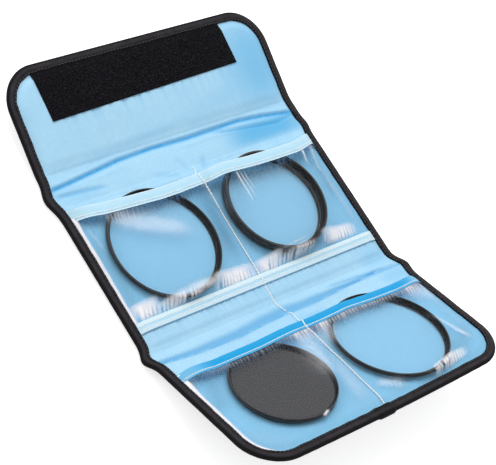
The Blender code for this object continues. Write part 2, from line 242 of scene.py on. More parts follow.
def addMask(piece, name, values):
    mask = piece.data.attributes.new(name, "FLOAT", "POINT")
    mask.data.foreach_set("value", np.asarray(values, np.float32))


def layFlat(piece, x, v, h):
    # lays a sheet's points at flat places, with its weave along them
    setCoordinates(piece, place(x, v, h))
    addUv(piece, np.stack([x, v], -1) / 10)


def unitGrid(name, columns, rows, look):
    # a sheet of quads whose x and y run from 0 to 1, ready to be laid in place
    bm = bmesh.new()
    bmesh.ops.create_grid(bm, x_segments=columns, y_segments=rows, size=0.5)
    bmesh.ops.translate(bm, vec=(0.5, 0.5, 0), verts=bm.verts)
    piece = finishMesh(bm, name, look)
    co = coordinates(piece)
    return piece, co[:, 0].copy(), co[:, 1].copy()


def changeMesh(piece, change):
    bm = bmesh.new()
    bm.from_mesh(piece.data)
    change(bm)
    bm.to_mesh(piece.data)
    bm.free()


def markRim(bm):
    # the open edges stay crisp, so that the wall round them doesn't bend the cloth's shading
    for edge in bm.edges:
        edge.smooth = not edge.is_boundary


def addSolidify(piece, thickness, shares=None, thinnest=None):
    # a wall below the sheet: shares is how much of it each point gets, and thinnest the least
    changeMesh(piece, markRim)
    wall = piece.modifiers.new("thickness", "SOLIDIFY")
    wall.thickness = thickness * mm
    wall.offset = -1
    if shares is not None:
        group = piece.vertex_groups.new(name="padding")
        for i, share in enumerate(shares):
            group.add([i], float(share), "REPLACE")
        wall.vertex_group = "padding"
        wall.thickness_vertex_group = thinnest


def applyModifiers(piece):
    # the piece's mesh as its modifiers leave it
    seen = piece.evaluated_get(bpy.context.evaluated_depsgraph_get())
    piece.data = bpy.data.meshes.new_from_object(seen)
    piece.modifiers.clear()


# Materials

def newMaterial(name):
    look = bpy.data.materials.new(name)
    look.use_nodes = True
    return look, look.node_tree, look.node_tree.nodes["Principled BSDF"]


def feed(tree, made, inputs):
    # sets a node's inputs, or links them where another node's output is given
    for key, value in inputs.items():
        if hasattr(value, "is_output"):
            tree.links.new(value, made.inputs[key])
        else:
            made.inputs[key].default_value = value


def node(tree, kind, inputs=None, **settings):
    made = tree.nodes.new(kind)
    for key, value in settings.items():
        setattr(made, key, value)
    feed(tree, made, inputs or {})
    return made


def maths(tree, operation, *values, clamp=False):
    made = node(tree, "ShaderNodeMath", dict(enumerate(values)), operation=operation,
                use_clamp=clamp)
    return made.outputs[0]


def mixColour(tree, share, first, second):
    # each colour is three numbers or another node's output
    first, second = (c if hasattr(c, "is_output") else (*c, 1) for c in (first, second))
    made = node(tree, "ShaderNodeMix", {0: share, 6: first, 7: second}, data_type="RGBA")
    return made.outputs[2]


def texturePlace(tree, kind):
    return tree.nodes.new("ShaderNodeTexCoord").outputs[kind]


def attribute(tree, name):
    return node(tree, "ShaderNodeAttribute", attribute_name=name).outputs["Fac"]


def noise(tree, where, scale, detail, roughness=0.5):
    inputs = {"Vector": where, "Scale": scale, "Detail": detail, "Roughness": roughness}
    return node(tree, "ShaderNodeTexNoise", inputs).outputs["Fac"]


def bands(tree, where, scale, distortion, direction, detail=2.0, detailScale=1.0):
    inputs = {"Vector": where, "Scale": scale, "Distortion": distortion, "Detail": detail,
              "Detail Scale": detailScale}
    return node(tree, "ShaderNodeTexWave", inputs, bands_direction=direction).outputs["Fac"]


def bump(tree, height, strength, distance):
    inputs = {"Height": height, "Strength": strength, "Distance": distance * mm}
    return node(tree, "ShaderNodeBump", inputs).outputs[0]


def newGroup(name, numbers):
    # a cloth's pattern: its height and its shade, from a place and some numbers
    tree = bpy.data.node_groups.new(name, "ShaderNodeTree")
    tree.interface.new_socket("Vector", in_out="INPUT", socket_type="NodeSocketVector")
    for title, value in numbers.items():
        socket = tree.interface.new_socket(title, in_out="INPUT", socket_type="NodeSocketFloat")
        socket.default_value = value
    for title in ("Height", "Shade"):
        tree.interface.new_socket(title, in_out="OUTPUT", socket_type="NodeSocketFloat")
    given = tree.nodes.new("NodeGroupInput").outputs
    return tree, given, tree.nodes.new("NodeGroupOutput")


def makeTwillGroup():
    # diagonal twill lines with uneven yarns: Scale is lines in a centimetre
    tree, given, out = newGroup("twillWeave", {"Scale": 7.0, "Turn": 0.8})
    turned = node(tree, "ShaderNodeVectorRotate",
                  {"Vector": given["Vector"], "Angle": given["Turn"]},
                  rotation_type="Z_AXIS").outputs[0]
    lines = bands(tree, turned, given["Scale"], 1.0, "X", detailScale=0.7)
    slubs = noise(tree, turned, 3.0, 3.0, 0.6)
    feed(tree, out, {"Height": maths(tree, "MULTIPLY_ADD", lines, 0.7, slubs),
                     "Shade": maths(tree, "MULTIPLY", lines, slubs)})
    return tree


def makeRibGroup():
    # cross ribs of a woven tape with fine speckle: Pitch is ribs in a centimetre
    tree, given, out = newGroup("tapeRibs", {"Pitch": 10.0, "Along": 3.0})
    ribs = bands(tree, given["Vector"], given["Pitch"], 0.8, "X", detail=1.0)
    yarns = bands(tree, given["Vector"], given["Along"], 1.5, "Y")
    speckle = noise(tree, given["Vector"], 30.0, 2.0)
    both = maths(tree, "MULTIPLY", ribs, yarns)
    height = maths(tree, "ADD", maths(tree, "MULTIPLY", ribs, 0.6), both)
    feed(tree, out, {"Height": height, "Shade": maths(tree, "MULTIPLY", both, speckle)})
    return tree


twillGroup = makeTwillGroup()
ribGroup = makeRibGroup()


def placeGroup(tree, group, inputs):
    return node(tree, "ShaderNodeGroup", inputs, node_tree=group).outputs


def makeLiningLook():
    # the crease colour is painted shade along the lining's folds, the pocket colour painted shade
    # under the films, and the tone colour a deeper blue that is partly painted shade
    satin = {"base": (0.41, 0.72, 0.95), "pale": (0.53, 0.81, 0.98), "deep": (0.10, 0.38, 0.70),
             "toneAndShade": (0.15, 0.50, 0.82), "pocket": (0.25, 0.60, 0.89),
             "crease": (0.06, 0.37, 0.72), "lines": 0.45, "cover": 0.85}
    look, tree, shader = newMaterial("satinLining")
    uv = texturePlace(tree, "UV")
    twill = placeGroup(tree, twillGroup, {"Vector": uv, "Scale": 2.1, "Turn": 1.05})
    cloth = mixColour(tree, noise(tree, uv, 0.35, 3.0), satin["base"], satin["pale"])
    lines = maths(tree, "MULTIPLY", twill["Shade"], satin["lines"])
    cloth = mixColour(tree, lines, cloth, satin["deep"])
    # deeper blue patches, partly painted shade
    cloth = mixColour(tree, attribute(tree, "toneAndShade"), cloth, satin["toneAndShade"])
    # painted shade: darker under the films and along the creases, pinches and puckers
    for mask in ("pocket", "crease"):
        share = maths(tree, "MULTIPLY", attribute(tree, mask), satin["cover"], clamp=True)
        cloth = mixColour(tree, share, cloth, satin[mask])
    feed(tree, shader, {"Base Color": cloth, "Roughness": 0.55, "Specular IOR Level": 0.12,
                        "Normal": bump(tree, twill["Height"], 0.5, 0.15)})
    return look


def makeTapeLook():
    webbing = {"base": (0.004, 0.0035, 0.004), "raised": (0.055, 0.050, 0.058),
               "paleMark": (0.075, 0.070, 0.080), "paleShare": 0.9}
    look, tree, shader = newMaterial("bindingTape")
    uv = texturePlace(tree, "UV")
    ribs = placeGroup(tree, ribGroup, {"Vector": uv, "Pitch": 6.0, "Along": 3.5})
    cloth = mixColour(tree, ribs["Shade"], webbing["base"], webbing["raised"])
    # paler along the middle of the tape's top face
    share = maths(tree, "MULTIPLY", attribute(tree, "band"), noise(tree, uv, 1.1, 4.0, 0.7))
    share = maths(tree, "MULTIPLY", share, webbing["paleShare"], clamp=True)
    feed(tree, shader, {"Base Color": mixColour(tree, share, cloth, webbing["paleMark"]),
                        "Roughness": 0.62, "Specular IOR Level": 0.05,
                        "Normal": bump(tree, ribs["Height"], 0.6, 0.2)})
    return look


def makeNylonLook():
    nylon = {"base": (0.010, 0.010, 0.012), "raised": (0.05, 0.05, 0.056),
             "dust": (0.09, 0.09, 0.1), "dusty": 0.12}
    look, tree, shader = newMaterial("oxfordNylon")
    uv = texturePlace(tree, "UV")
    weave = placeGroup(tree, ribGroup, {"Vector": uv, "Pitch": 5.5, "Along": 5.5})
    cloth = mixColour(tree, weave["Shade"], nylon["base"], nylon["raised"])
    dusty = maths(tree, "MULTIPLY", noise(tree, uv, 0.5, 4.0), nylon["dusty"])
    feed(tree, shader, {"Base Color": mixColour(tree, dusty, cloth, nylon["dust"]),
                        "Roughness": 0.68, "Specular IOR Level": 0.2,
                        "Normal": bump(tree, weave["Height"], 0.7, 0.25)})
    return look


def makeRibbonLook(name, base, line, scale):
    shades = {"crease": (0.02, 0.16, 0.34), "creased": 0.9, "fine": 0.25, "darker": 0.7}
    look, tree, shader = newMaterial(name)
    uv = texturePlace(tree, "UV")
    twill = placeGroup(tree, twillGroup, {"Vector": uv, "Scale": scale, "Turn": 2.2})
    cloth = mixColour(tree, attribute(tree, "stripe"), base, line)
    fine = maths(tree, "MULTIPLY", twill["Shade"], shades["fine"])
    cloth = mixColour(tree, fine, cloth, tuple(shades["darker"] * c for c in base))
    # painted shade: a dark line along the base ribbon's lower edge, where it meets the lining
    creased = maths(tree, "MULTIPLY", attribute(tree, "crease"), shades["creased"], clamp=True)
    feed(tree, shader, {"Base Color": mixColour(tree, creased, cloth, shades["crease"]),
                        "Roughness": 0.5, "Specular IOR Level": 0.2,
                        "Normal": bump(tree, twill["Height"], 0.35, 0.1)})
    return look


def makeFilmLook():
    # clear soft vinyl: milky where it is creased at its seams, with painted glare in white patches
    # and along the left films' outer edges, and painted shade under the mouths' ribbons, between
    # the gathers and in dark patches
    film = {"cast": (0.05, 0.07, 0.10), "milkAndGlareWhite": (0.98, 0.97, 1.0), "shade": (0.02, 0.13, 0.30),
            "clear": 0.05, "hazeAndGlareCover": 0.93, "shadeCover": 0.55, "milkAndGlareShare": 4.0}
    look, tree, shader = newMaterial("clearFilm")
    uv = texturePlace(tree, "UV")
    uneven = maths(tree, "MULTIPLY_ADD", noise(tree, uv, 1.6, 3.0), 0.6, 0.7)
    hazeAndGlare = maths(tree, "MULTIPLY", attribute(tree, "hazeAndGlare"), uneven, clamp=True)
    # painted shade on the film
    gatherShade = attribute(tree, "gatherShade")
    colour = mixColour(tree, gatherShade, film["cast"], film["shade"])
    milkAndGlareShare = maths(tree, "MULTIPLY", hazeAndGlare, film["milkAndGlareShare"], clamp=True)
    back = tree.nodes.new("ShaderNodeNewGeometry").outputs["Backfacing"]
    front = maths(tree, "SUBTRACT", 1.0, back)
    cover = maths(tree, "MULTIPLY", hazeAndGlare, film["hazeAndGlareCover"] - film["clear"])
    shaded = maths(tree, "MULTIPLY", gatherShade, film["shadeCover"])
    cover = maths(tree, "ADD", cover, shaded, clamp=True)
    cover = maths(tree, "ADD", cover, film["clear"], clamp=True)
    feed(tree, shader, {"Base Color": mixColour(tree, milkAndGlareShare, colour, film["milkAndGlareWhite"]),
                        "Alpha": maths(tree, "MULTIPLY", cover, front),
                        "Roughness": 0.16, "IOR": 1.5,
                        "Normal": bump(tree, noise(tree, uv, 2.5, 3.0), 0.06, 0.1)})
    return look


def makeGlassLook():
    look, tree, shader = newMaterial("clearGlass")
    # coated, so it mirrors little
    feed(tree, shader, {"Base Color": (0.95, 0.985, 1.0, 1), "Roughness": 0.02, "IOR": 1.3,
                        "Transmission Weight": 1.0})
    return look


def makeGreyGlassLook():
    look, tree, shader = newMaterial("greyGlass")
    spot = noise(tree, texturePlace(tree, "Object"), 14.0, 2.0)
    grey = mixColour(tree, spot, (0.040, 0.040, 0.045), (0.048, 0.048, 0.054))
    feed(tree, shader, {"Base Color": grey, "Roughness": 0.12})
    return look


def makeRingLook():
    anodised = {"black": (0.003, 0.003, 0.003), "smudged": (0.012, 0.010, 0.009),
                "paleMark": (0.11, 0.105, 0.10), "roughest": 0.2, "smoothest": 0.26}
    look, tree, shader = newMaterial("anodisedRing")
    where = texturePlace(tree, "Object")
    grain = noise(tree, where, 900.0, 2.0)
    smudge = noise(tree, where, 60.0, 3.0)
    black = mixColour(tree, smudge, anodised["black"], anodised["smudged"])
    rough = maths(tree, "MULTIPLY", smudge, anodised["roughest"])
    # painted highlight lines along the ring's edges
    feed(tree, shader, {"Base Color": mixColour(tree, attribute(tree, "paleMark"), black,
                                                anodised["paleMark"]),
                        "Roughness": maths(tree, "ADD", rough, anodised["smoothest"]),
                        "Specular IOR Level": 0.3, "Normal": bump(tree, grain, 0.1, 0.05)})
    return look


def makeThreadLook(name, colour):
    look, tree, shader = newMaterial(name)
    twist = bands(tree, texturePlace(tree, "Object"), 900.0, 2.0, "DIAGONAL")
    darker = tuple(0.88 * c for c in colour)
    feed(tree, shader, {"Base Color": mixColour(tree, twist, darker, colour),
                        "Roughness": 0.6, "Normal": bump(tree, twist, 0.4, 0.05)})
    return look


def makeHookLook(name, base, raised):
    look, tree, shader = newMaterial(name)
    speck = noise(tree, texturePlace(tree, "Object"), 1100.0, 2.0)
    spots = maths(tree, "MULTIPLY_ADD", speck, 6.0, -2.8, clamp=True)
    feed(tree, shader, {"Base Color": mixColour(tree, spots, base, raised),
                        "Roughness": 0.55, "Specular IOR Level": 0.05})
    return look


def makeLoopLook():
    look, tree, shader = newMaterial("loopTape")
    fuzz = noise(tree, texturePlace(tree, "UV"), 14.0, 5.0)
    pile = mixColour(tree, fuzz, (0.008, 0.008, 0.009), (0.045, 0.045, 0.05))
    feed(tree, shader, {"Base Color": pile, "Roughness": 0.9, "Specular IOR Level": 0.1,
                        "Sheen Weight": 0.1, "Normal": bump(tree, fuzz, 0.9, 0.6)})
    return look


looks = {
    "lining": makeLiningLook(),
    "binding": makeTapeLook(),
    "nylon": makeNylonLook(),
    "paleRibbon": makeRibbonLook("paleRibbon", (0.40, 0.72, 0.92), (0.74, 0.92, 1.0), 2.8),
    "cyanRibbon": makeRibbonLook("cyanRibbon", (0.003, 0.36, 0.74), (0.5, 0.85, 1.0), 3.6),
    "film": makeFilmLook(),
    "glass": makeGlassLook(),
    "greyGlass": makeGreyGlassLook(),
    "ring": makeRingLook(),
    "whiteThread": makeThreadLook("whiteThread", (0.97, 0.99, 1.0)),
    "blackThread": makeThreadLook("blackThread", (0.06, 0.055, 0.06)),
    "hook": makeHookLook("hookTape", (0.003, 0.003, 0.004), (0.012, 0.012, 0.015)),
    "hooks": makeHookLook("hookBristles", (0.003, 0.003, 0.005), (0.055, 0.055, 0.068)),
    "loop": makeLoopLook(),
}
print("materials ready")

# The pockets' outlines

pocketShape = {
    "step": 0.7,
    "edge": 105.0,
    "rim": 6.0,                # how far inside the case's outline the films end
    "seamGap": 0.2,
    "hem": 0.5,
    "floor": 4.4,
    "room": 0.6,               # round the filter
    "slack": 0.5,
    "film": 0.22,
    "lipLevel": 8,             # how far in the mouth's height holds, and how far it fades
    "lipFade": 22,
    "baseV": {"middle": -34.2, "lower": caseShape["lowerEnd"] + 6.2},
    "seam": [(-163, -6.5), (-140, -4.5), (-115, -2.5), (-106, -2.5), (-98, -3.6), (-90, -4.3),
             (-86.5, -4.7), (-81.6, -3.4), (-80, -0.8), (-77.4, 0.4), (-71, 1.9), (-65.5, 2.0),
             (-60.6, 0.4), (-56, -1.3), (-46, -1.0), (-38, -1.3), (-34, -1.1), (-29, -0.5),
             (-10, -0.4), (6, 0.1), (18, 0.4), (22.5, -0.4), (26.2, -1.2), (30, -2), (34, -2.5),
             (38, -2.8), (43, -3.5), (46, -3.2), (47, -1.0), (51, 1.4), (60, 1.8)],
    # the mouths' edges, dipping over each filter
    "mouth": {
        "middle": [(-108, 52.8), (-105, 52.2), (-96, 49.6), (-85.5, 47.8), (-64, 46.4),
                   (-39.6, 44.9), (-23.5, 44.9), (-14, 45.5), (-7, 46.1), (-3.5, 46.1),
                   (1, 45.3), (5, 45.2), (12, 46), (16, 46), (25.8, 45.3), (38.4, 44.4),
                   (58.3, 43.8), (79, 43.8), (88, 45.2), (97, 47.9), (108, 50.9)],
        "lower": [(-108, -77.6), (-104, -78.3), (-96, -80.8), (-85, -82.9), (-70, -83.1),
                  (-47.7, -83.3), (-24.5, -82.2), (-16, -82), (-10, -80.9), (-6, -80.4),
                  (-3, -81.1), (1, -82.4), (5, -82.7), (20, -82.3), (31, -81.7), (52, -83.7),
                  (73, -84.7), (84, -84.5), (94, -83.2), (108, -79.6)],
    },
    # how high the mouths stand: over the filters, and lower at the seam and the edges
    "lift": {
        "middle": [(-108, 3.2), (-104.9, 3.4), (-97.5, 9.2), (-92, 10.2), (-18, 10.3),
                   (-12, 9.4), (-6, 8.7), (-2, 9.6), (1, 12.4), (3, 13.5), (8, 13.9), (76, 13.9),
                   (84, 13.3), (92, 11.8), (98, 8.6), (104.9, 3.4), (108, 3.2)],
        "lower": [(-108, 3.2), (-104.9, 3.4), (-97.5, 8.8), (-91, 10.1), (-17, 10.3),
                  (-11, 8.8), (-6, 7.8), (-2, 8.6), (1, 10), (4, 10.3), (84, 10.3), (92, 9.7),
                  (98, 8), (104.9, 3.4), (108, 3.2)],
    },
}


def seamLine(v):
    # where the stitched seam between the pockets runs
    return np.interp(v, *zip(*pocketShape["seam"]))


def eased(line, x):
    # a line of points at x, with its corners eased
    return sum(np.interp(x + d, *zip(*line)) for d in (-2, -1, 0, 1, 2)) / 5


def mouthAt(panel, x):
    # where the mouth's edge lies
    return eased(pocketShape["mouth"][panel], x)


def liftAt(panel, x):
    # how high the mouth stands
    return eased(pocketShape["lift"][panel], x)


def mouthShare(down):
    # 1 at the mouth, fading into the pocket
    return smooth(1 - (down - pocketShape["lipLevel"]) / pocketShape["lipFade"])


# The lining and its padding

hookStrip = {"left": -85.5, "right": 75, "top": flapFold + 65.6, "length": 32.2, "base": 0.45,
             "foot": (-0.4, 0.0255), "lean": 2.6}      # its lower edge and its ends lie askew

liningShape = {
    "columns": 212,
    "rowStep": 0.9,
    "inset": 1.1,
    "cover": 0.6,
    "padding": 2.4,
    "swell": 0.14,
    "ripple": 0.035,
    "spineDip": 0.5,
    "filterRoom": 0.12,        # how far the lining may swell where filters slide over it
    # each crease: its line, how deep, how far it spreads towards the flap and away from it, and how
    # strong and how wide the painted shade is along it
    "creases": [
        {"path": [(-113, 68.8), (-90, 71), (-48, 75.8), (-20, 76.6), (12, 76), (58, 76.6),
                  (80, 74.6), (111, 70)], "depth": 1.3, "ahead": 1.8, "behind": 4.0,
         "line": 1.0, "band": 0.3, "core": 1.35},
        {"path": [(30, 73), (64, 68.4), (87, 65.8), (111, 68.9)], "depth": 0.7, "ahead": 3.5,
         "behind": 1.2, "line": 0.55, "band": 0.3, "core": 0.8},
        {"path": [(-108, 64.5), (-88, 62.8), (-62, 60.4)], "depth": 0.5, "ahead": 2.2,
         "behind": 3, "line": 0.32, "band": 0.2, "core": 0.8},
        {"path": [(-113, -63), (-101, -63.6), (-76, -66.9), (-44, -67.9), (-20, -66), (1, -65.2),
                  (18, -66.2), (40, -65), (55, -63.8), (80, -63.4), (98, -63.5), (113, -64.5)],
         "depth": 1.3, "ahead": 7.6, "behind": 1.6, "line": 0.9, "band": 0.75,
         "core": 0.85, "lineAt": -1.1,
         "spread": [(-113, 0.15), (-98, 0.45), (-70, 0.8), (-39, 1.05), (-2, 1.15), (25, 0.9),
                    (56, 0.4), (98, 0.2), (113, 0.15)]},
        {"path": [(40, -59.2), (56, -59.9), (76, -61.5), (98, -63.3)], "depth": 0.6,
         "ahead": 2.5, "behind": 1.5, "line": 0.5, "band": 0.2, "core": 0.8},
    ],
    "puckers": [
        {"seam": [(-86, 113.5), (75, 113.5)], "way": -1, "length": 9, "pitch": 6.5,
         "height": 0.6, "span": (-78, 74), "seed": 3},
        {"seam": [(-105, -41.5), (105, -38.5)], "way": -1, "length": 5.5, "pitch": 4.6,
         "height": 0.5, "span": (-100, 102), "seed": 5},
        {"seam": [(-105, 52), (-65, 47), (0, 47), (64, 45), (105, 51)], "way": 1, "length": 6,
         "pitch": 8, "height": 0.2, "span": (-98, 100), "seed": 8},
        {"seam": [(-105, -80.5), (105, -78.5)], "way": 1, "length": 5, "pitch": 5.5,
         "height": 0.26, "span": (-98, 102), "seed": 13},
    ],
    # pinched folds: from, to, height, width, painted shade
    "pinches": [
        ((3, 48), (4, 69), 0.5, 1.6, 0), ((-1, 49), (-7, 66), -0.3, 1.8, 0.2),
        ((8, 48), (16, 62), -0.3, 2.2, 0.25), ((-8, 50), (-34, 59), -0.25, 2.0, 0.2),
        ((0, -42), (0, -55), -0.5, 1.6, 0.15), ((1, -67), (-1, -80), -0.4, 1.5, 0.12),
    ],
    # where the satin is painted a deeper blue: beside the filters, the centre seam and the creases
    # this is painted shade
    "tonesAndShades": [((92, 112), 30, 26, 90, 0.7), ((76, 64), 34, 8, 0, 1.0),
              ((-88, 62), 18, 5, -10, 0.25), ((60, 96), 40, 9, 12, 0.25),
              ((-30, 84), 60, 3, 6, 0.2), ((95, -52), 14, 8, 0, 0.3),
              ((96, -72), 12, 7, 0, 0.35), ((12, -77), 14, 4, 0, 0.3),
              ((-6, 2), 42, 7, 88, 0.3), ((96, 5), 34, 8, 90, 0.3),
              ((30, -140), 40, 14, 0, 0.2)],
}


def panelShare(v):
    # 1 on the padded panels, 0 in the thin folds between them
    margin = 5
    middle = smooth((upperFold - 1 - v) / margin) * smooth((v - lowerFold - 1) / margin)
    flap = smooth((v - flapFold + 2) / (2 * margin))
    lower = smooth((lowerFarFold - 1 - v) / margin)
    return np.maximum(middle, np.maximum(flap, lower))


def padSlope(x, v, gap=0.3):
    # 0 under the tape, 1 where the padding has its full height
    return smooth((edgeDistance(x, v) - caseShape["tapeWidth"] - gap) / caseShape["slopeWidth"])


def liningHeight(x, v):
    # the lining's top, without its creases
    s = caseShape
    slope = padSlope(x, v)
    share = panelShare(v)
    dip = (1 - share) * slope * liningShape["spineDip"]
    spine = ((v > upperFold) & (v < flapFold)) | ((v < lowerFold) & (v > lowerFarFold))
    return s["edgeTop"] + (s["padTop"] - s["edgeTop"]) * slope * share - dip * spine


def strokeShare(x, v, start, end, width):
    # 1 along a short flat line, fading to its sides and towards both ends
    along = np.array(end, float) - np.array(start, float)
    length = math.hypot(*along)
    along /= length
    t = (x - start[0]) * along[0] + (v - start[1]) * along[1]
    side = (x - start[0]) * -along[1] + (v - start[1]) * along[0]
    return bell(side / width) * smooth(t / (0.3 * length)) * smooth((length - t) / (0.3 * length))


def patchShare(x, v, patches):
    # soft ovals: middle, half length, half width, turn in degrees, strength
    total = np.zeros(np.shape(x))
    for (atX, atV), longer, shorter, turned, strength in patches:
        c, s = math.cos(math.radians(turned)), math.sin(math.radians(turned))
        along = ((x - atX) * c + (v - atV) * s) / longer
        across = (-(x - atX) * s + (v - atV) * c) / shorter
        flat = np.exp(-across ** 4) if strength > 0.7 else bell(across)
        total = np.maximum(total, strength * np.exp(-along ** 4) * flat)
    return total


def liningWrinkles(x, v):
    # the height that creases and puckers add, and how much painted shade each place gets in the
    # creases, pinches and puckers
    s = liningShape
    free = smooth((edgeDistance(x, v) - 5.5) / 5)
    rise = waves(x, v, 1, 42) * s["swell"] + waves(x, v, 2, 11) * s["ripple"]
    depth = np.zeros(np.shape(x))
    for crease in s["creases"]:
        away = lineDistance(x, v, crease["path"])
        start, end = crease["path"][0][0], crease["path"][-1][0]
        ends = smooth((x - start) / 12) * smooth((end - x) / 12)
        ahead = crease["ahead"]
        if "spread" in crease:
            ahead = ahead * np.interp(x, *zip(*crease["spread"]))
        side = np.where(away > 0, away / ahead, -away / crease["behind"])
        hollow = 1 - smooth(side)
        rise -= crease["depth"] * ends * hollow
        rise += 0.25 * crease["depth"] * ends * bell((side - 1.35) / 0.4)
        depth += ends * crease["line"] * bell((away - crease.get("lineAt", 0)) / crease["core"])
        wide = np.where(away > 0, ahead, crease["behind"]) > 2
        depth += ends * crease["band"] * wide * smooth(1.6 - 1.5 * side)
    for start, end, height, width, tint in s["pinches"]:
        share = strokeShare(x, v, start, end, width)
        rise += height * share
        depth += tint * share
    for row in s["puckers"]:
        fold = puckers(x, v, row)
        rise += fold
        # painted shade in the puckers' furrows
        depth += np.clip(-fold, 0, 1) * 0.6
    slidOver = (v > lowerFold + 10) & (v < flapFold)
    rise = np.where(slidOver, np.minimum(rise, s["filterRoom"]), rise)
    return rise * free, depth * smooth((edgeDistance(x, v) - 4) / 3)


def underFilmShade(x, v):
    # 1 where the clear film covers the lining, which is painted darker there as shade
    share = np.zeros(np.shape(x))
    for panel in ("middle", "lower"):
        base = pocketShape["baseV"][panel]
        share += smooth((v - base + 2) / 3) * smooth((mouthAt(panel, x) - 3 - v) / 3)
    return share


def clothGrid(name, start, end, s, look):
    # a sheet across the whole case, and the flat places of its points
    rows = int(abs(end - start) / s["rowStep"])
    piece, across, along = unitGrid(name, s["columns"], rows, looks[look])
    v = start + (end - start) * along
    v = np.clip(v, caseShape["lowerEnd"] + s["inset"], caseShape["flapEnd"] - s["inset"])
    return piece, (2 * across - 1) * halfWidthAt(v, s["inset"]), v


def makeLiningPiece(name, start, end):
    s = liningShape
    piece, x, v = clothGrid(name, start, end, s, "lining")
    rise, depth = liningWrinkles(x, v)
    layFlat(piece, x, v, liningHeight(x, v) + rise)
    # painted shade along the creases, pinches and puckers
    addMask(piece, "crease", depth)
    # painted shade where the film covers the lining
    addMask(piece, "pocket", underFilmShade(x, v))
    # deeper blue patches, partly painted shade
    addMask(piece, "toneAndShade", patchShare(x, v, s["tonesAndShades"]))
    shares = padSlope(x, v, 0) * panelShare(v)
    addSolidify(piece, s["padding"], shares, s["cover"] / s["padding"])
    return piece


hideSeam = {"upper": 46.5, "lower": -38.0}        # pieces meet under the ribbons
upperSpineMiddle = (upperFold + flapFold) / 2
lowerSpineMiddle = (lowerFold + lowerFarFold) / 2

# name, from, to, the body it rides on or the two on either side of its fold, the fold it crosses
stretches = [
    ("middle", hideSeam["lower"], hideSeam["upper"], ("middle_panel",), None),
    ("flap_spine", hideSeam["upper"], upperSpineMiddle, ("middle_panel", "flap_spine"), upperFold),
    ("flap", upperSpineMiddle, caseShape["flapEnd"], ("flap_spine", "flap"), flapFold),
    ("lower_spine", lowerSpineMiddle, hideSeam["lower"], ("middle_panel", "lower_spine"),
     lowerFold),
    ("lower", caseShape["lowerEnd"], lowerSpineMiddle, ("lower_spine", "lower_panel"),
     lowerFarFold),
]
foldReach = 4.0                 # half the length either side of a fold


def carry(piece, bodies, fold):
    # rides on one body; a piece across a fold only has its transform applied
    if fold is None:
        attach(piece, bodies[0])
        return
    way = 1 if fold > 0 else -1
    start = place(0, fold - way * foldReach, foldLevel)
    end = place(0, fold + way * foldReach, foldLevel)
    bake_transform(piece)


for title, start, end, bodies, fold in stretches:
    lining = makeLiningPiece("lining_cover_" + title, start, end)
    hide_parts("lining_" + title, "pad_" + title)
    carry(lining, bodies, fold)
print("lining laid")

# The outer shell

shellShape = {"columns": 110, "rowStep": 1.6, "inset": 1.1, "thickness": 0.6,
              "edgeLift": 1.3, "foldLift": 0.35, "foldWidth": 1.6, "sag": 0.08}


def shellHeight(x, v):
    # the shell's outer face: flat under the padding, drawn up to its sewn edges and folds
    s = shellShape
    slope = padSlope(x, v)
    groove = np.zeros(np.shape(v))
    for fold in (upperFold, flapFold, lowerFold, lowerFarFold):
        groove = np.maximum(groove, bell((v - fold) / s["foldWidth"]))
    soft = s["sag"] * (1 + waves(x, v, 31, 30)) * slope
    lift = np.maximum(s["edgeLift"] * (1 - slope), s["foldLift"] * groove)
    return lift + np.clip(soft, 0, 0.3)


def makeShellPiece(name, start, end):
    s = shellShape
    piece, x, v = clothGrid(name, start, end, s, "nylon")
    layFlat(piece, x, v, shellHeight(x, v) + s["thickness"])
    addSolidify(piece, s["thickness"])
    return piece


for title, start, end, bodies, fold in stretches:
    shell = makeShellPiece("shell_cover_" + title, start, end)
    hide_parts("shell_" + title)
    carry(shell, bodies, fold)
print("shell laid")

# The binding tape folded round the edge

tape = {
    "width": 6.5,
    "thickness": 0.7,
    "top": 3.85,
    "bottom": 0.4,
    "puff": 0.22,
    "step": 1.1,
    "wobble": 0.14,
    "ripple": 0.05,
    "pleat": 0.16,             # round the corners
    "pleatPitch": 3.1,
    "overlapAt": -3,           # where the tape's two ends lap, along the lower edge
    "overlapLength": 15,
    "overlapRise": 0.5,
    "overlapReach": 0.7,
    "stitchInset": 5.5,
    "stitchPitch": 2.7,
    "stitchRadius": 0.31,
}


def tapeSection():
    # the folded tape's section: inset from the edge and height, all the way round
    s = tape
    middle = (s["top"] + s["bottom"]) / 2
    radius = (s["top"] - s["bottom"]) / 2
    wall = s["thickness"]
    turns = [math.pi / 2 - math.pi * i / 8 for i in range(9)]
    outer = [(s["width"], s["top"] - 0.12), (s["width"] - 0.5, s["top"])]
    outer += [(s["width"] - 2 - i, s["top"] + s["puff"] * (i + 1) / 3) for i in range(3)]
    outer += [(radius - radius * math.cos(t), middle + radius * math.sin(t)) for t in turns]
    outer += [(s["width"] - 2, s["bottom"]), (s["width"], s["bottom"])]
    small = radius - wall
    inner = [(s["width"], s["bottom"] + wall)]
    inner += [(radius - small * math.cos(t), middle + small * math.sin(t)) for t in reversed(turns)]
    inner += [(s["width"], s["top"] - wall - 0.1)]
    return outer + inner


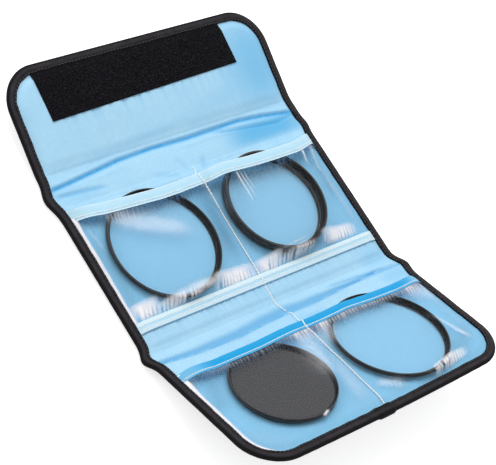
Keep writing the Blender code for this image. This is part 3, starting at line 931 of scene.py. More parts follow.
def tapePath(start, end, side):
    # stations along the edge: x, v, and the outward direction there
    if side:
        v = np.linspace(start, end, max(2, int(abs(end - start) / tape["step"])))
        ones = np.ones(len(v))
        return side * halfWidth * ones, v, side * ones, 0 * ones
    near, far, way = (start, end, 1) if end > 0 else (end, start, -1)
    r = caseShape["cornerRadius"]
    straight = abs(far - near) - r
    across = 2 * (halfWidth - r)
    arc = math.pi / 2 * r
    total = 2 * straight + 2 * arc + across
    stations = np.linspace(0, total, int(total / tape["step"]))
    x, v, nx, nv = (np.zeros(len(stations)) for _ in range(4))
    for i, at in enumerate(stations):
        mirrored = at > total / 2
        t = total - at if mirrored else at
        flip = 1 if mirrored else -1
        if t <= straight:
            x[i], v[i], nx[i], nv[i] = flip * halfWidth, near + way * t, flip, 0
        elif t <= straight + arc:
            bend = (t - straight) / r
            nx[i], nv[i] = flip * math.cos(bend), way * math.sin(bend)
            x[i] = flip * (halfWidth - r) + nx[i] * r
            v[i] = far - way * r + nv[i] * r
        else:
            x[i], v[i] = flip * (halfWidth - r - (t - straight - arc)), far
            nx[i], nv[i] = 0, way
    return x, v, nx, nv


def closeTape(bm):
    # joins the two long edges and fills the cut ends
    bmesh.ops.remove_doubles(bm, verts=bm.verts, dist=0.01 * mm)
    bmesh.ops.holes_fill(bm, edges=[e for e in bm.edges if e.is_boundary], sides=0)
    bmesh.ops.recalc_face_normals(bm, faces=bm.faces)


def makeTapePiece(name, path):
    s = tape
    section = np.array(tapeSection())
    count = len(section)
    stations = len(path[0])
    piece, around, along = unitGrid(name, count, stations - 1, looks["binding"])
    k = np.round(around * count).astype(int) % count
    station = np.round(along * (stations - 1)).astype(int)
    inset, height = section[k, 0], section[k, 1]
    steps = np.hypot(np.diff(path[0]), np.diff(path[1]))
    gone = np.concatenate([[0], np.cumsum(steps)])[station]
    x, v, outX, outV = (values[station] for values in path)
    inset = inset + waves(x, v, 21, 14) * s["wobble"] * (inset / s["width"])
    corner = np.abs(outX * outV) * 2
    pleat = np.sin(gone * 2 * math.pi / s["pleatPitch"] + waves(x, v, 22, 9))
    height = height + s["pleat"] * corner * pleat * (inset > 3) * (height > 2)
    height = height + waves(x, v, 23, 8) * s["ripple"]
    onLower = (outV < -0.9) & (x > s["overlapAt"] - s["overlapLength"])
    lap = onLower * smooth((s["overlapAt"] - x) / 0.5)
    lap = lap * smooth((x - s["overlapAt"] + s["overlapLength"]) / 3)
    middle = (s["top"] + s["bottom"]) / 2
    height = height + lap * s["overlapRise"] * np.sign(height - middle)
    inset = inset - s["overlapReach"] * lap * (inset < 4)
    setCoordinates(piece, place(x - outX * inset, v - outV * inset, height))
    addUv(piece, np.stack([gone / 10, (k + 1) * 0.08], -1))
    top = smooth((height - middle) / 0.8)
    addMask(piece, "band", top * smooth((inset - 1.2) / 0.8) * smooth((4.9 - inset) / 0.8))
    changeMesh(piece, closeTape)
    piece.data.shade_smooth()
    piece.data.set_sharp_from_angle(angle=math.radians(60))
    return piece


def stitchRow(bm, points, ups, pitch, radius, share):
    # short rounded stitches along a line of points: share is how much of the pitch one fills
    gone = np.concatenate([[0], np.cumsum(np.linalg.norm(np.diff(points, axis=0), axis=1))])
    count = int(gone[-1] / pitch)
    for i in range(count):
        ends = []
        for at in ((i + 0.5 - share / 2) * pitch, (i + 0.5 + share / 2) * pitch):
            ends.append(Vector([np.interp(at, gone, points[:, k]) for k in range(3)]))
        up = Vector([np.interp((i + 0.5) * pitch, gone, ups[:, k]) for k in range(3)])
        along = ends[1] - ends[0]
        turn = along.to_track_quat("X", "Z").to_matrix().to_4x4()
        middle = (ends[0] + ends[1]) / 2 + up * radius * 0.3
        scale = Matrix.Diagonal((along.length / 2 + radius, radius, radius * 0.8, 1))
        bmesh.ops.create_uvsphere(bm, u_segments=8, v_segments=4, radius=1,
                                  matrix=Matrix.Translation(middle) @ turn @ scale)


def upAt(v):
    # straight out of the case's face
    angle = np.interp(v, lineV, lineAngle)
    return np.stack([0 * angle, -np.sin(angle), np.cos(angle)], -1)


def makeTapeStitches(name, path):
    # one row through the tape, seen on both of its faces
    s = tape
    x, v, outX, outV = path
    inset = s["stitchInset"] + waves(x, v, 21, 14) * s["wobble"]
    atX, atV = x - outX * inset, v - outV * inset
    bm = bmesh.new()
    for height, way in ((s["top"] + 0.12, 1), (s["bottom"] - 0.02, -1)):
        points = place(atX, atV, height + waves(x, v, 23, 8) * s["ripple"])
        stitchRow(bm, points, way * upAt(atV), s["stitchPitch"] * mm, s["stitchRadius"] * mm, 0.6)
    return finishMesh(bm, name, looks["blackThread"])


def makeEdge(title, node, path, bodies, fold):
    made = makeTapePiece("edge_tape_" + title, path)
    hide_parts(node)
    stitches = makeTapeStitches("edge_stitches_" + title, path)
    for piece in (made, stitches):
        carry(piece, bodies, fold)


for title, start, end, bodies, fold in stretches:
    if title in ("flap", "lower"):
        makeEdge(title, "binding_" + title, tapePath(start, end, 0), bodies, fold)
        continue
    for side, word in ((-1, "left"), (1, "right")):
        part = title + "_" + word
        makeEdge(part, "binding_" + part, tapePath(start, end, side), bodies, fold)
print("binding folded round the edge")

# The clear pockets

filters = {
    "clear_filter_left": {"thread": 77, "overhang": 1.5, "lip": 1.0, "glass": "glass",
                          "body": "clear_filter_left"},
    "pair_filter_lower": {"thread": 72, "overhang": 2.2, "lip": 1.5, "glass": "glass",
                          "body": "filter_pair"},
    "pair_filter_upper": {"thread": 72, "overhang": 2.2, "lip": 1.5, "glass": "glass",
                          "body": "filter_pair"},
    "grey_filter": {"thread": 67, "overhang": 1.0, "lip": 0.7, "glass": "greyGlass",
                    "body": "grey_filter"},
    "clear_filter_right": {"thread": 77, "overhang": 1.5, "lip": 0.9, "glass": "glass",
                           "body": "clear_filter_right"},
}
filterHeight = 5.0
stubHeight = 1.6


def filterCentre(name):
    low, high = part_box(name + "_ring")
    x, v, h = flatPlace((low + high) / 2)
    return x, v, h - filterHeight / 2


pockets = [
    {"name": "middle_left", "panel": "middle", "side": -1, "holds": "clear_filter_left",
     "top": filterHeight, "body": "middle_panel"},
    {"name": "middle_right", "panel": "middle", "side": 1, "holds": "pair_filter_lower",
     "top": 8.6, "body": "middle_panel"},
    {"name": "lower_left", "panel": "lower", "side": -1, "holds": "grey_filter",
     "top": filterHeight, "body": "lower_panel"},
    {"name": "lower_right", "panel": "lower", "side": 1, "holds": "clear_filter_right",
     "top": filterHeight, "body": "lower_panel"},
]


def relaxFilm(pocket, x, v, foot):
    # a taut sheet over the filter and the way out of its mouth, sewn down on its other sides
    holds = filters[pocket["holds"]]
    cx, cv, _ = filterCentre(pocket["holds"])
    radius = holds["thread"] / 2 + holds["overhang"] + pocketShape["room"]
    top = pocketShape["floor"] + pocket["top"] + pocketShape["slack"]
    over = np.hypot(x - cx, v - cv) < radius
    over |= (np.abs(x - cx) < radius) & (v > cv)
    height = np.where(over, top, foot)
    fixed = np.zeros(x.shape, bool)
    fixed[0, :] = fixed[-1, :] = True      # the side and middle seams
    fixed[:, 0] = True                     # the closed end
    height[fixed] = foot[fixed]
    for _ in range(500):
        around = np.pad(height, 1, mode="edge")
        mean = (around[:-2, 1:-1] + around[2:, 1:-1] + around[1:-1, :-2] + around[1:-1, 2:]) / 4
        height = np.where(fixed, foot, np.where(over, np.maximum(mean, top), mean))
        height = np.maximum(height, foot)
    return height


def filmGrid(pocket):
    # the flat places of one film, column by column from its inner seam
    s = pocketShape
    panel, side = pocket["panel"], pocket["side"]
    base = s["baseV"][panel]
    middle = seamLine(base + 40)
    columns = int(abs(side * s["edge"] - middle) / s["step"])
    rows = int(abs(mouthAt(panel, 0) - base) / s["step"])
    share, length = np.meshgrid(np.linspace(0, 1, columns + 1), np.linspace(0, 1, rows + 1),
                                indexing="ij")
    x = middle + (side * s["edge"] - middle) * share
    for _ in range(3):
        edge = mouthAt(panel, x) - s["hem"]
        v = base + (edge - base) * length
        inner = seamLine(v) + side * s["seamGap"]
        outer = side * np.minimum(s["edge"], halfWidthAt(v, s["rim"]))
        x = inner + (outer - inner) * share
    return x, v


def footHeight(x, v):
    # where the films lie down on the lining and the edge's tape
    lining = liningHeight(x, v) + liningWrinkles(x, v)[0]
    return lining + 0.15 + 0.25 * smooth((edgeDistance(x, v) - 6.5) / 2)


for pocket in pockets:
    pocket["x"], pocket["v"] = filmGrid(pocket)
    pocket["foot"] = footHeight(pocket["x"], pocket["v"])
    pocket["height"] = relaxFilm(pocket, pocket["x"], pocket["v"], pocket["foot"])

filmShape = {
    "basePuckers": {"length": 6, "pitch": 3.6, "height": 0.5, "start": 1.0},
    "mouthGathers": {"length": 3.0, "pitch": 2.7, "height": 0.4, "start": 0.8},
    "combPitch": 2.6,
    "toothPitch": 2.3,
    "sway": 0.12,
    "held": 4,                 # how far from its seams the film is drawn flat
    "lipRise": 0.35,           # the raised edge along the left films' outer seams
    "lipAt": 1.3,
    "lipWidth": 0.75,
    # glare and milky places: middle, half length, half width, turn in degrees, strength
    "glare": {
        "middle_left": [((-93, -27.5), 9, 5.5, 0, 1.0), ((-70, -29.5), 20, 3.6, 4, 0.75),
                        ((-20, -28.5), 17, 5.4, 0, 1.0), ((-57, 23), 27, 7.0, -25, 0.34),
                        ((-70, 29), 14, 4.5, -20, 0.28), ((-99, 27), 9, 0.9, 96, 0.16),
                        ((-48, -27), 14, 3, 0, 0.6), ((-62, -24.5), 20, 1.2, 5, 0.2)],
        "middle_right": [((11, -29), 10, 4.8, 0, 0.95), ((76, -27), 16, 4.6, 0, 1.0),
                         ((31, -30), 17, 3.0, 3, 0.7), ((22.2, 25), 12, 0.7, 89, 0.5),
                         ((25.5, 25), 10, 0.6, 91, 0.38), ((28.4, 27), 7, 0.6, 90, 0.28),
                         ((84, 32), 6, 1.1, 93, 0.35), ((97, -4), 26, 3, 90, 0.16),
                         ((33, -24), 14, 1.0, 4, 0.22), ((95, 28), 12, 2, 95, 0.16)],
        "lower_left": [((-15, -106), 26, 11, 76, 0.28), ((-50.6, -152.8), 3.2, 0.7, 20, 1.0),
                       ((-12, -132), 24, 8, 80, 0.22), ((-60, -92), 30, 2.5, 0, 0.06),
                       ((-92, -150), 16, 5, -42, 0.1)],
        "lower_right": [((92, -98), 15, 8, -25, 0.26), ((40, -91), 42, 4.5, 0, 0.14),
                        ((4, -96), 12, 6, 70, 0.26), ((58, -156), 18, 2.6, 8, 0.9),
                        ((97, -118), 22, 4, 86, 0.1), ((86, -134), 14, 2.2, 118, 0.34),
                        ((8, -152), 10, 3, -30, 0.3)],
    },
    # where the film shades what is under it
    "shades": {
        "middle_left": [((-8, 10), 26, 6, 88, 0.42), ((-99, 0), 30, 4, 92, 0.2)],
        "middle_right": [((4, 24), 14, 3.5, 88, 0.3), ((93, 20), 22, 7, 94, 0.3)],
        "lower_left": [((-96, -104), 14, 5, 70, 0.2)],
        "lower_right": [((84, -146), 18, 6, 40, 0.2)],
    },
    # shallow folds pulled across the film: from, to, height, width
    "pulls": {
        "middle_left": [((-100, 38), (-90, 14), 0.35, 1.6), ((-96, 40), (-84, 24), -0.3, 1.5)],
        "middle_right": [((22.2, 38), (22, 13), 0.35, 1.0), ((25.5, 37), (25.4, 14), 0.3, 0.9),
                         ((88, 40), (82, 20), 0.35, 1.4), ((98, 30), (92, -10), 0.3, 2.2)],
        "lower_left": [((-10, -95), (-18, -140), 0.35, 4), ((-96, -98), (-88, -120), 0.25, 2)],
        "lower_right": [((84, -126), (98, -146), 0.6, 1.8), ((80, -132), (93, -152), -0.5, 1.6),
                        ((72, -142), (84, -158), 0.6, 1.8), ((30, -154), (68, -152), 0.5, 1.6),
                        ((88, -112), (100, -128), 0.4, 1.8)],
    },
}


def makeFilm(pocket, number):
    s = filmShape
    panel, side, name = pocket["panel"], pocket["side"], pocket["name"]
    x, v, height = pocket["x"], pocket["v"], pocket["height"]
    toBase = v - pocketShape["baseV"][panel]
    toMouth = mouthAt(panel, x) - v
    toInner = np.abs(x - x[:1, :])
    toOuter = np.abs(x[-1:, :] - x)
    toSeam = np.minimum(toInner, toOuter)
    loose = smooth(toSeam / s["held"])
    span = sorted((x[0, 0], side * pocketShape["edge"]))
    base = {"seam": [(end, pocketShape["baseV"][panel]) for end in (-120, 120)],
            "way": 1, "span": span, "seed": 40 + number, **s["basePuckers"]}
    weight = 1.0 if panel == "middle" else 0.25
    wrinkle = puckers(x, v, base) / s["basePuckers"]["height"]
    height = height + weight * s["basePuckers"]["height"] * wrinkle * loose
    order = np.argsort(x[:, -1])
    mouth = {"seam": list(zip(x[order, -1], v[order, -1])), "way": -1, "span": span,
             "seed": 50 + number, **s["mouthGathers"]}
    teeth = puckers(x, v, mouth) / s["mouthGathers"]["height"]
    height = height + s["mouthGathers"]["height"] * np.minimum(teeth, 0.2) * loose * smooth(
        (toMouth - 6) / 3)
    height = height + s["sway"] * waves(x, v, 60 + number, 16) * loose * smooth(toBase / 6)
    for start, end, rise, width in s["pulls"][name]:
        height = height + rise * strokeShare(x, v, start, end, width) * loose
    share = mouthShare(toMouth)
    lift = liftAt(panel, x)
    height = np.maximum(height, pocket["foot"] + (lift - pocket["foot"]) * share)
    height = np.minimum(height, lift + 40 * (1 - share))
    lip = bell((toOuter - s["lipAt"]) / s["lipWidth"]) * (side < 0)
    height = height + s["lipRise"] * lip
    # milky where it is creased, painted white glare where it catches the light and along the raised
    # edge, and painted shade under the ribbons, between the gathers and in dark patches
    glare = patchShare(x, v, s["glare"][name])
    row = {"seed": 80 + number, "span": span, "pitch": s["combPitch"]}
    comb = smooth(1.0 + 1.4 * ridges(x - 0.3 * toBase, row))
    nearBase = np.exp(-(np.maximum(toBase - 2, 0) / 5.5) ** 2)
    hazeAndGlare = glare * (1 - 0.9 * nearBase * (1 - comb)) + 1.8 * lip
    hazeAndGlare += 0.05 * bell(toSeam / 2.5)
    # painted shade: a dark line under the mouth's ribbon and dark teeth between the gathers
    below = np.maximum(toMouth - ribbons[panel]["width"], 0)
    row = {"seed": 85 + number, "span": span, "pitch": s["toothPitch"]}
    tooth = smooth(0.35 - 1.4 * ridges(x + 0.25 * below, row))
    gatherShade = 0.35 * np.exp(-below / 2.4) + 0.85 * tooth * np.exp(-(below / 5.5) ** 2)
    gatherShade += patchShare(x, v, s["shades"][name])
    columns, rows = x.shape[0] - 1, x.shape[1] - 1
    piece, across, along = unitGrid("film_sheet_" + name, columns, rows, looks["film"])
    at = np.round(across * columns).astype(int), np.round(along * rows).astype(int)
    layFlat(piece, x[at], v[at], height[at])
    addMask(piece, "hazeAndGlare", np.clip(hazeAndGlare, 0, 1)[at])
    addMask(piece, "gatherShade", np.clip(gatherShade, 0, 1)[at])
    if side < 0:
        piece.data.flip_normals()
    piece.data.shade_smooth()
    addSolidify(piece, pocketShape["film"])
    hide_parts("film_" + name)
    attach(piece, pocket["body"])
    return piece


ribbons = {
    "middle": {"width": 8.4, "look": "paleRibbon", "node": "mouth_ribbon_middle",
               "body": "middle_panel", "seed": 71, "rows": (6.3,),
               "stripes": [(0, 1), (0.08, 1), (0.11, 0.1), (0.2, 0.1), (0.22, 1), (0.29, 1),
                           (0.33, 0.25), (0.92, 0.45), (0.96, 0.9), (1, 0.7)]},
    "lower": {"width": 7.2, "look": "cyanRibbon", "node": "mouth_ribbon_lower",
              "body": "lower_panel", "seed": 72, "rows": (5.6,),
              "stripes": [(0, 0.3), (0.05, 0.12), (0.17, 0.08), (0.19, 1), (0.25, 1), (0.27, 0),
                          (1, 0.05)]},
    "base": {"width": 7.6, "top": -33.2, "look": "paleRibbon", "node": "base_ribbon_middle",
             "body": "middle_panel", "seed": 73, "rows": (2.6, 5.3),
             "stripes": [(0, 0.2), (0.1, 0.65), (0.24, 0.9), (0.27, 1), (0.36, 1), (0.4, 0.2),
                         (0.6, 0.2), (0.63, 0.95), (0.7, 1), (0.95, 1), (1, 0.6)]},
}
ribbonShape = {"columns": 210, "rows": 26, "reach": 104.9, "thickness": 0.45, "crown": 0.22,
               "sway": 0.07, "dent": 0.14, "dentWidth": 0.45, "drop": 0.25, "dropFrom": 102.5,
               "sewnTo": 103.6, "stitchPitch": 2.2, "stitchRadius": 0.3}

films = [makeFilm(pocket, number) for number, pocket in enumerate(pockets)]
print("films drawn over the filters")

# Ribbons and stitching


def ribbonTop(name, x, v):
    if name == "base":
        return liningHeight(x, v) + 1.05
    return liftAt(name, x) + 0.55


def ribbonEdge(name, x):
    if name == "base":
        return ribbons["base"]["top"] + 0 * x
    return mouthAt(name, x)


def makeRibbon(name):
    s, row = ribbonShape, ribbons[name]
    piece, across, along = unitGrid("ribbon_" + name, s["columns"], s["rows"], looks[row["look"]])
    x = (2 * across - 1) * s["reach"]
    v = ribbonEdge(name, x) - row["width"] * (1 - along)
    crown = s["crown"] * np.sin(math.pi * along) ** 0.6
    wander = s["sway"] * waves(x, v, row["seed"], 8)
    dents = sum(s["dent"] * bell((ribbonEdge(name, x) - v - down) / s["dentWidth"])
                for down in row["rows"])
    drop = np.maximum(np.abs(x) - s["dropFrom"], 0) * s["drop"]
    layFlat(piece, x, v, ribbonTop(name, x, v) + crown + wander - dents - drop)
    ends = 0.4 * smooth((np.abs(x) - 80) / 24)
    addMask(piece, "stripe", np.maximum(np.interp(along, *zip(*row["stripes"])), ends))
    # painted shade along the base ribbon's lower edge
    addMask(piece, "crease", 0.8 * bell(along / 0.03) if name == "base" else 0 * along)
    addSolidify(piece, s["thickness"])
    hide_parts(row["node"])
    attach(piece, row["body"])
    bm = bmesh.new()
    line = np.linspace(-s["sewnTo"], s["sewnTo"], 300)
    for down in row["rows"]:
        at = ribbonEdge(name, line) - down
        stitchRow(bm, place(line, at, ribbonTop(name, line, at) + 0.1), upAt(at),
                  s["stitchPitch"] * mm, s["stitchRadius"] * mm, 0.86)
    thread = finishMesh(bm, "ribbon_thread_" + name, looks["whiteThread"])
    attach(thread, row["body"])
    return piece, thread


ribbonPieces = {name: makeRibbon(name) for name in ribbons}
print("ribbons sewn")


def seamTop(x, v):
    # on the films, the ribbons or the lining, whatever the middle seam is sewn through there
    top = liningHeight(x, v) + liningWrinkles(x, v)[0] + 0.15
    foot = footHeight(x, v)
    for panel in ("middle", "lower"):
        edge = mouthAt(panel, x)
        inside = (v < edge) & (v > pocketShape["baseV"][panel])
        lifted = (liftAt(panel, x) - foot) * mouthShare(edge - v)
        top = np.where(inside, foot + lifted + 0.12, top)
        on = (v < edge) & (v > edge - ribbons[panel]["width"])
        top = np.where(on, ribbonTop(panel, x, v) + 0.25, top)
    base = ribbons["base"]
    onBase = (v < base["top"]) & (v > base["top"] - base["width"])
    return np.where(onBase, ribbonTop("base", x, v) + 0.25, top)


centreSeam = {"points": 400, "pitch": 2.6, "radius": 0.56, "share": 0.95}


def makeCentreSeam(name, start, end, bodies, fold):
    s = centreSeam
    bm = bmesh.new()
    v = np.linspace(start, end, s["points"])
    x = seamLine(v)
    stitchRow(bm, place(x, v, seamTop(x, v)), upAt(v), s["pitch"] * mm, s["radius"] * mm,
              s["share"])
    seam = finishMesh(bm, name, looks["whiteThread"])
    carry(seam, bodies, fold)


makeCentreSeam("centre_seam_middle", hideSeam["lower"], 55, ("middle_panel",), None)
makeCentreSeam("centre_seam_lower_spine", lowerSpineMiddle, hideSeam["lower"],
               ("middle_panel", "lower_spine"), lowerFold)
makeCentreSeam("centre_seam_lower", caseShape["lowerEnd"] + 6.5, lowerSpineMiddle,
               ("lower_spine", "lower_panel"), lowerFarFold)
print("centre seam sewn")

# The filters

turning = {"steps": 160, "sharpFrom": math.radians(35)}
ringShape = {"chamfer": 0.3, "seat": 0.35, "ledge": 1.7, "ledgeTop": 1.2, "recess": 1.8,
             "threadDepth": 0.22, "threadPitch": 0.5, "grip": (2.85, 3.1, 3.5, 3.75),
             "gripDepth": 0.35}
glassShape = {"low": 1.35, "high": 2.55, "gap": 0.3, "bevel": 0.15}
clipShape = {"low": 0.15, "high": 0.85, "width": 0.7, "bevel": 0.2}


def exactPlace(x, v, h):
    # where the frame itself has a flat place, on the middle or the lower panel
    if v > lowerFold:
        return Vector((x, v, h)) * mm
    out, up = lowerFold - v, h - foldLevel
    c, s = math.cos(lowerRise), math.sin(lowerRise)
    return Vector((x, lowerFold - out * c + up * s, foldLevel + out * s + up * c)) * mm


def standing(centre):
    # where a filter stands: its middle at its foot, with its axis out of the panel
    tilt = float(np.interp(centre[1], lineV, lineAngle))
    return Matrix.Translation(exactPlace(*centre)) @ Matrix.Rotation(tilt, 4, "X")


def turn(profile, name, look, centre):
    # spins a closed section of radius and height round the filter's axis
    bm = bmesh.new()
    verts = [bm.verts.new((r * mm, 0, z * mm)) for r, z in profile]
    edges = [bm.edges.new((a, b)) for a, b in zip(verts, verts[1:] + verts[:1])]
    bmesh.ops.spin(bm, geom=verts + edges, axis=(0, 0, 1), cent=(0, 0, 0), dvec=(0, 0, 0),
                   angle=2 * math.pi, steps=turning["steps"], use_merge=True)
    bmesh.ops.remove_doubles(bm, verts=bm.verts, dist=0.0005 * mm)
    bmesh.ops.recalc_face_normals(bm, faces=bm.faces)
    bmesh.ops.transform(bm, matrix=standing(centre), verts=bm.verts)
    piece = finishMesh(bm, name, looks[look])
    piece.data.set_sharp_from_angle(angle=turning["sharpFrom"])
    return piece


def threadSection(radius, low, high, depth):
    # the saw-tooth section of a fine screw thread
    pitch = ringShape["threadPitch"]
    count = max(1, int((high - low) / pitch))
    points = []
    for i in range(count):
        z = low + (i + 0.5) * (high - low) / count
        points += [(radius, z - pitch * 0.3), (radius + depth, z)]
    return points + [(radius, high)]


def paintedRingHighlight(co, centre, flange, recess):
    # painted highlight: paler along the turned ring's outer corners, its lip, its grip groove and
    # its foot, where the edges catch the light
    where = standing(centre)
    local = (co - np.array(where.to_translation())) @ np.array(where.to_3x3())
    radius = np.hypot(local[:, 0], local[:, 1]) / mm
    height = local[:, 2] / mm
    c = ringShape["chamfer"]
    corner = (np.abs(radius - flange + c * 0.5) < c * 0.6) & (height > filterHeight - 1.1 * c)
    lip = (np.abs(radius - recess - 0.2) < 0.05) & (height > filterHeight - 0.05)
    groove = (radius > flange - 0.1) & (np.abs(height - ringShape["grip"][0]) < 0.05)
    foot = (np.abs(radius - flange) < 0.05) & (height < stubHeight + 1.2 * c)
    return np.clip(0.55 * corner + 0.25 * lip + 0.3 * groove + 0.25 * foot, 0, 1)


def makeFilter(name, size):
    s = ringShape
    centre = filterCentre(name)
    stub = size["thread"] / 2 - 0.3
    flange = size["thread"] / 2 + size["overhang"]
    recess = flange - size["lip"]
    seat = recess - s["seat"]
    bore = seat - s["ledge"]
    c, top, foot = s["chamfer"], filterHeight, stubHeight
    floor = top - s["recess"]
    gripFoot, low, high, gripTop = s["grip"]
    grip = flange - s["gripDepth"]
    profile = [(bore, 0.15), (bore + 0.15, 0), (stub - 0.15, 0)]
    profile += threadSection(stub, 0.15, foot - 0.1, -s["threadDepth"])
    profile += [
        (flange - c, foot), (flange - c * 0.3, foot + c * 0.3), (flange, foot + c),
        (flange, gripFoot), (grip, low), (grip, high), (flange, gripTop),
        (flange, top - c), (flange - c * 0.3, top - c * 0.3), (flange - c, top),
        (recess + 0.2, top),
    ]
    profile += reversed(threadSection(recess, floor + 0.1, top - 0.2, s["threadDepth"]))
    profile += [(recess, floor), (seat, floor), (seat, s["ledgeTop"]), (bore, s["ledgeTop"])]
    ring = turn(profile, name + "_turned", "ring", centre)
    # painted highlight on the ring's edges
    addMask(ring, "paleMark", paintedRingHighlight(coordinates(ring), centre, flange, recess))
    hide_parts(name + "_ring")
    low, high, bevel = glassShape["low"], glassShape["high"], glassShape["bevel"]
    edge = seat - glassShape["gap"]
    glass = [(0, low), (edge - bevel, low), (edge, low + bevel), (edge, high - bevel),
             (edge - bevel, high), (0, high)]
    disc = turn(glass, name + "_disc", size["glass"], centre)
    if size["glass"] == "glass":
        disc.visible_shadow = False        # clear glass keeps no light from the lining
        disc.visible_diffuse = False
    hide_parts(name + "_glass")
    low, high, bevel = high + clipShape["low"], high + clipShape["high"], clipShape["bevel"]
    inner = edge - clipShape["width"]
    clip = [(inner, low), (edge, low), (edge, high), (inner + bevel, high), (inner, high - bevel)]
    spring = turn(clip, name + "_clip", "ring", centre)
    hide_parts(name + "_retainer")
    for piece in (ring, disc, spring):
        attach(piece, size["body"])


for name, size in filters.items():
    makeFilter(name, size)
print("filters turned")

# The hook and loop fastener


def askew(x, share):
    # how far the hook strip is sewn from square: share is 0 at its lower edge, 1 at its top
    s = hookStrip
    return s["lean"] * (0.5 - share), (s["foot"][0] + s["foot"][1] * x) * (1 - share)


def hookLevel(x, v, lift):
    # the hook strip's own height on the flap: it spans the lining's creases
    return liningHeight(x, v) + lift + hookStrip["base"] + 0.1 * waves(x, v, 91, 20)


def makeHookStrip():
    s = hookStrip
    piece, across, along = unitGrid("hook_backing", 160, 34, looks["hook"])
    x = s["left"] + (s["right"] - s["left"]) * across
    v = s["top"] - s["length"] * (1 - along)
    sideways, down = askew(x, along)
    x, v = x + sideways, v + down
    layFlat(piece, x, v, hookLevel(x, v, 0.3))
    addSolidify(piece, s["base"])
    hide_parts("hook_strip")
    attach(piece, "flap")


def makeHooks():
    # a field of bent bristles, one small hook repeated in rows
    s = hookStrip
    hook = {"pitch": 1.15, "radius": 0.16, "bends": [(0, 0.3), (0.12, 0.28), (0.3, 0.1)],
            "margin": 1.2, "jitter": 0.22, "height": (0.8, 1.15), "turn": 1.2}
    bm = bmesh.new()
    bmesh.ops.create_circle(bm, segments=4, radius=hook["radius"], cap_ends=True)
    face = bm.faces[:][0]
    for side, up in hook["bends"]:
        grown = bmesh.ops.extrude_face_region(bm, geom=[face])["geom"]
        verts = [g for g in grown if isinstance(g, bmesh.types.BMVert)]
        bmesh.ops.translate(bm, vec=(side, 0, up), verts=verts)
        bm.faces.remove(face)
        face = [g for g in grown if isinstance(g, bmesh.types.BMFace)][0]
    bmesh.ops.recalc_face_normals(bm, faces=bm.faces)
    piece = finishMesh(bm, "hook_field", looks["hooks"])
    one = coordinates(piece)
    columns = int((s["right"] - s["left"] - 2 * hook["margin"]) / hook["pitch"])
    rows = int((s["length"] - 2.0) / hook["pitch"])
    for count, offset in ((columns, (1, 0, 0)), (rows, (0, 1, 0))):
        repeat = piece.modifiers.new("rows", "ARRAY")
        repeat.use_relative_offset = False
        repeat.use_constant_offset = True
        repeat.constant_offset_displace = tuple(hook["pitch"] * o for o in offset)
        repeat.count = count
    applyModifiers(piece)
    co = coordinates(piece)
    copies = len(co) // len(one)
    dice = np.random.default_rng(7)
    jitter = np.repeat(dice.normal(0, hook["jitter"], (copies, 2)), len(one), axis=0)
    tall = np.repeat(dice.uniform(*hook["height"], copies), len(one))
    spin = np.repeat(dice.uniform(-hook["turn"], hook["turn"], copies), len(one))
    root = co - np.tile(one, (copies, 1))
    local = co - root
    turnedX = local[:, 0] * np.cos(spin) - local[:, 1] * np.sin(spin)
    turnedY = local[:, 0] * np.sin(spin) + local[:, 1] * np.cos(spin)
    x = s["left"] + 1.4 + root[:, 0] + turnedX + jitter[:, 0]
    v = s["top"] - s["length"] + hook["margin"] + root[:, 1] + turnedY + jitter[:, 1]
    sideways, down = askew(root[:, 0] + s["left"], root[:, 1] / s["length"])
    x, v = x + sideways, v + down
    h = hookLevel(x - turnedX, v - turnedY, 0.2)
    setCoordinates(piece, place(x, v, h + local[:, 2] * tall))
    piece.data.shade_flat()
    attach(piece, "flap")


def makeLoopStrip():
    low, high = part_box("loop_strip")
    v = [flatPlace((0, y, z))[1] for y, z in ((low.y, high.z), (high.y, low.z))]
    piece, across, along = unitGrid("loop_pile", 200, 44, looks["loop"])
    x = low.x / mm + (high.x - low.x) / mm * across
    v = min(v) + (max(v) - min(v)) * along
    edge = np.minimum(np.minimum(across, 1 - across) * 160, np.minimum(along, 1 - along) * 31)
    dice = np.random.default_rng(11)
    pile = dice.normal(0, 0.10, len(x)) * smooth(edge / 1.5)
    h = -0.2 - 0.95 * smooth(edge / 0.8 + 0.2) + np.clip(pile, -0.25, 0.3)
    layFlat(piece, x, v, h)
    changeMesh(piece, lambda bm: bmesh.ops.reverse_faces(bm, faces=bm.faces))
    piece.data.shade_smooth()
    addSolidify(piece, 0.15)
    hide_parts("loop_strip")
    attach(piece, "lower_panel")


makeHookStrip()
makeHooks()
makeLoopStrip()
print("fastener made")

for film, pocket in zip(films, pockets):
    panel = pocket["panel"]
    withPieces = list(ribbonPieces[panel]) if pocket["side"] < 0 else []
    if panel == "middle" and pocket["side"] < 0:
        withPieces += list(ribbonPieces["base"])

# Floor, light and camera

studio = {
    "floorColour": (0.93, 0.94, 0.95),
    "floorGlow": 0.64,
    "worldFill": 0.55,
    "softboxes": [
        {"name": "overhead", "at": (0.25, 0.75, 1.35), "size": (1.3, 0.9), "power": 13,
         "mirrored": False},       # its spot would sparkle in the films' slopes
        {"name": "side", "at": (-0.9, 0.9, 0.7), "size": (0.6, 0.6), "power": 3,
         "mirrored": True},
    ],
}


def seenShare(tree):
    # 1 where something is seen, in a mirror or through glass too, and 0 for its light on others
    path = tree.nodes.new("ShaderNodeLightPath").outputs
    seen = maths(tree, "ADD", path["Is Camera Ray"], path["Is Glossy Ray"])
    return maths(tree, "ADD", seen, path["Is Transmission Ray"], clamp=True)


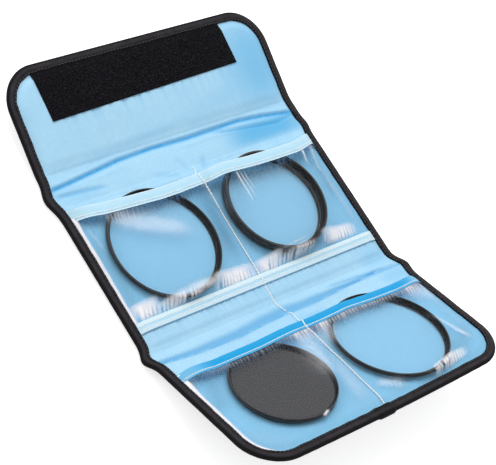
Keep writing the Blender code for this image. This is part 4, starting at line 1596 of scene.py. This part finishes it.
def makeFloor():
    bm = bmesh.new()
    bmesh.ops.create_grid(bm, x_segments=1, y_segments=1, size=6)
    bmesh.ops.translate(bm, vec=(0, 0, -0.0013), verts=bm.verts)
    look, tree, shader = newMaterial("paleFloor")
    glow = maths(tree, "MULTIPLY", seenShare(tree), studio["floorGlow"])
    feed(tree, shader, {"Base Color": (*studio["floorColour"], 1), "Roughness": 0.95,
                        "Emission Color": (1, 1, 1, 1), "Emission Strength": glow})
    finishMesh(bm, "floor", look)


def makeWorld():
    world = bpy.data.worlds.new("studio")
    bpy.context.scene.world = world
    world.use_nodes = True
    tree = world.node_tree
    strength = maths(tree, "MULTIPLY", seenShare(tree), 1 - studio["worldFill"])
    strength = maths(tree, "ADD", strength, studio["worldFill"])
    feed(tree, tree.nodes["Background"], {"Color": (1, 1, 1, 1), "Strength": strength})


def makeSoftbox(box):
    light = bpy.data.lights.new(box["name"], "AREA")
    light.shape = "RECTANGLE"
    light.size, light.size_y = box["size"]
    light.energy = box["power"]
    lamp = bpy.data.objects.new(box["name"], light)
    lamp.visible_glossy = box["mirrored"]
    lamp.location = box["at"]
    lamp.rotation_mode = "QUATERNION"
    lamp.rotation_quaternion = (-Vector(box["at"])).to_track_quat("-Z", "Y")
    bpy.context.scene.collection.objects.link(lamp)


def makeCamera():
    view = {"at": (-686.42, -281.98, 841.33), "right": (0.734107, -0.518117, 0.43891),
            "ahead": (0.620002, 0.247841, -0.744427), "lens": 123.39}
    camera = bpy.data.cameras.new("photoView")
    camera.lens = view["lens"]
    camera.sensor_width = 36
    camera.clip_start, camera.clip_end = 0.05, 20
    rig = bpy.data.objects.new("photoView", camera)
    right = Vector(view["right"]).normalized()
    back = -Vector(view["ahead"]).normalized()
    up = back.cross(right)
    turned = Matrix((right, up, back)).transposed()
    rig.matrix_world = Matrix.Translation(Vector(view["at"]) * mm) @ turned.to_4x4()
    bpy.context.scene.collection.objects.link(rig)
    bpy.context.scene.camera = rig


makeFloor()
makeWorld()
for box in studio["softboxes"]:
    makeSoftbox(box)
makeCamera()
bpy.context.scene.view_settings.view_transform = "Standard"
print("studio ready")
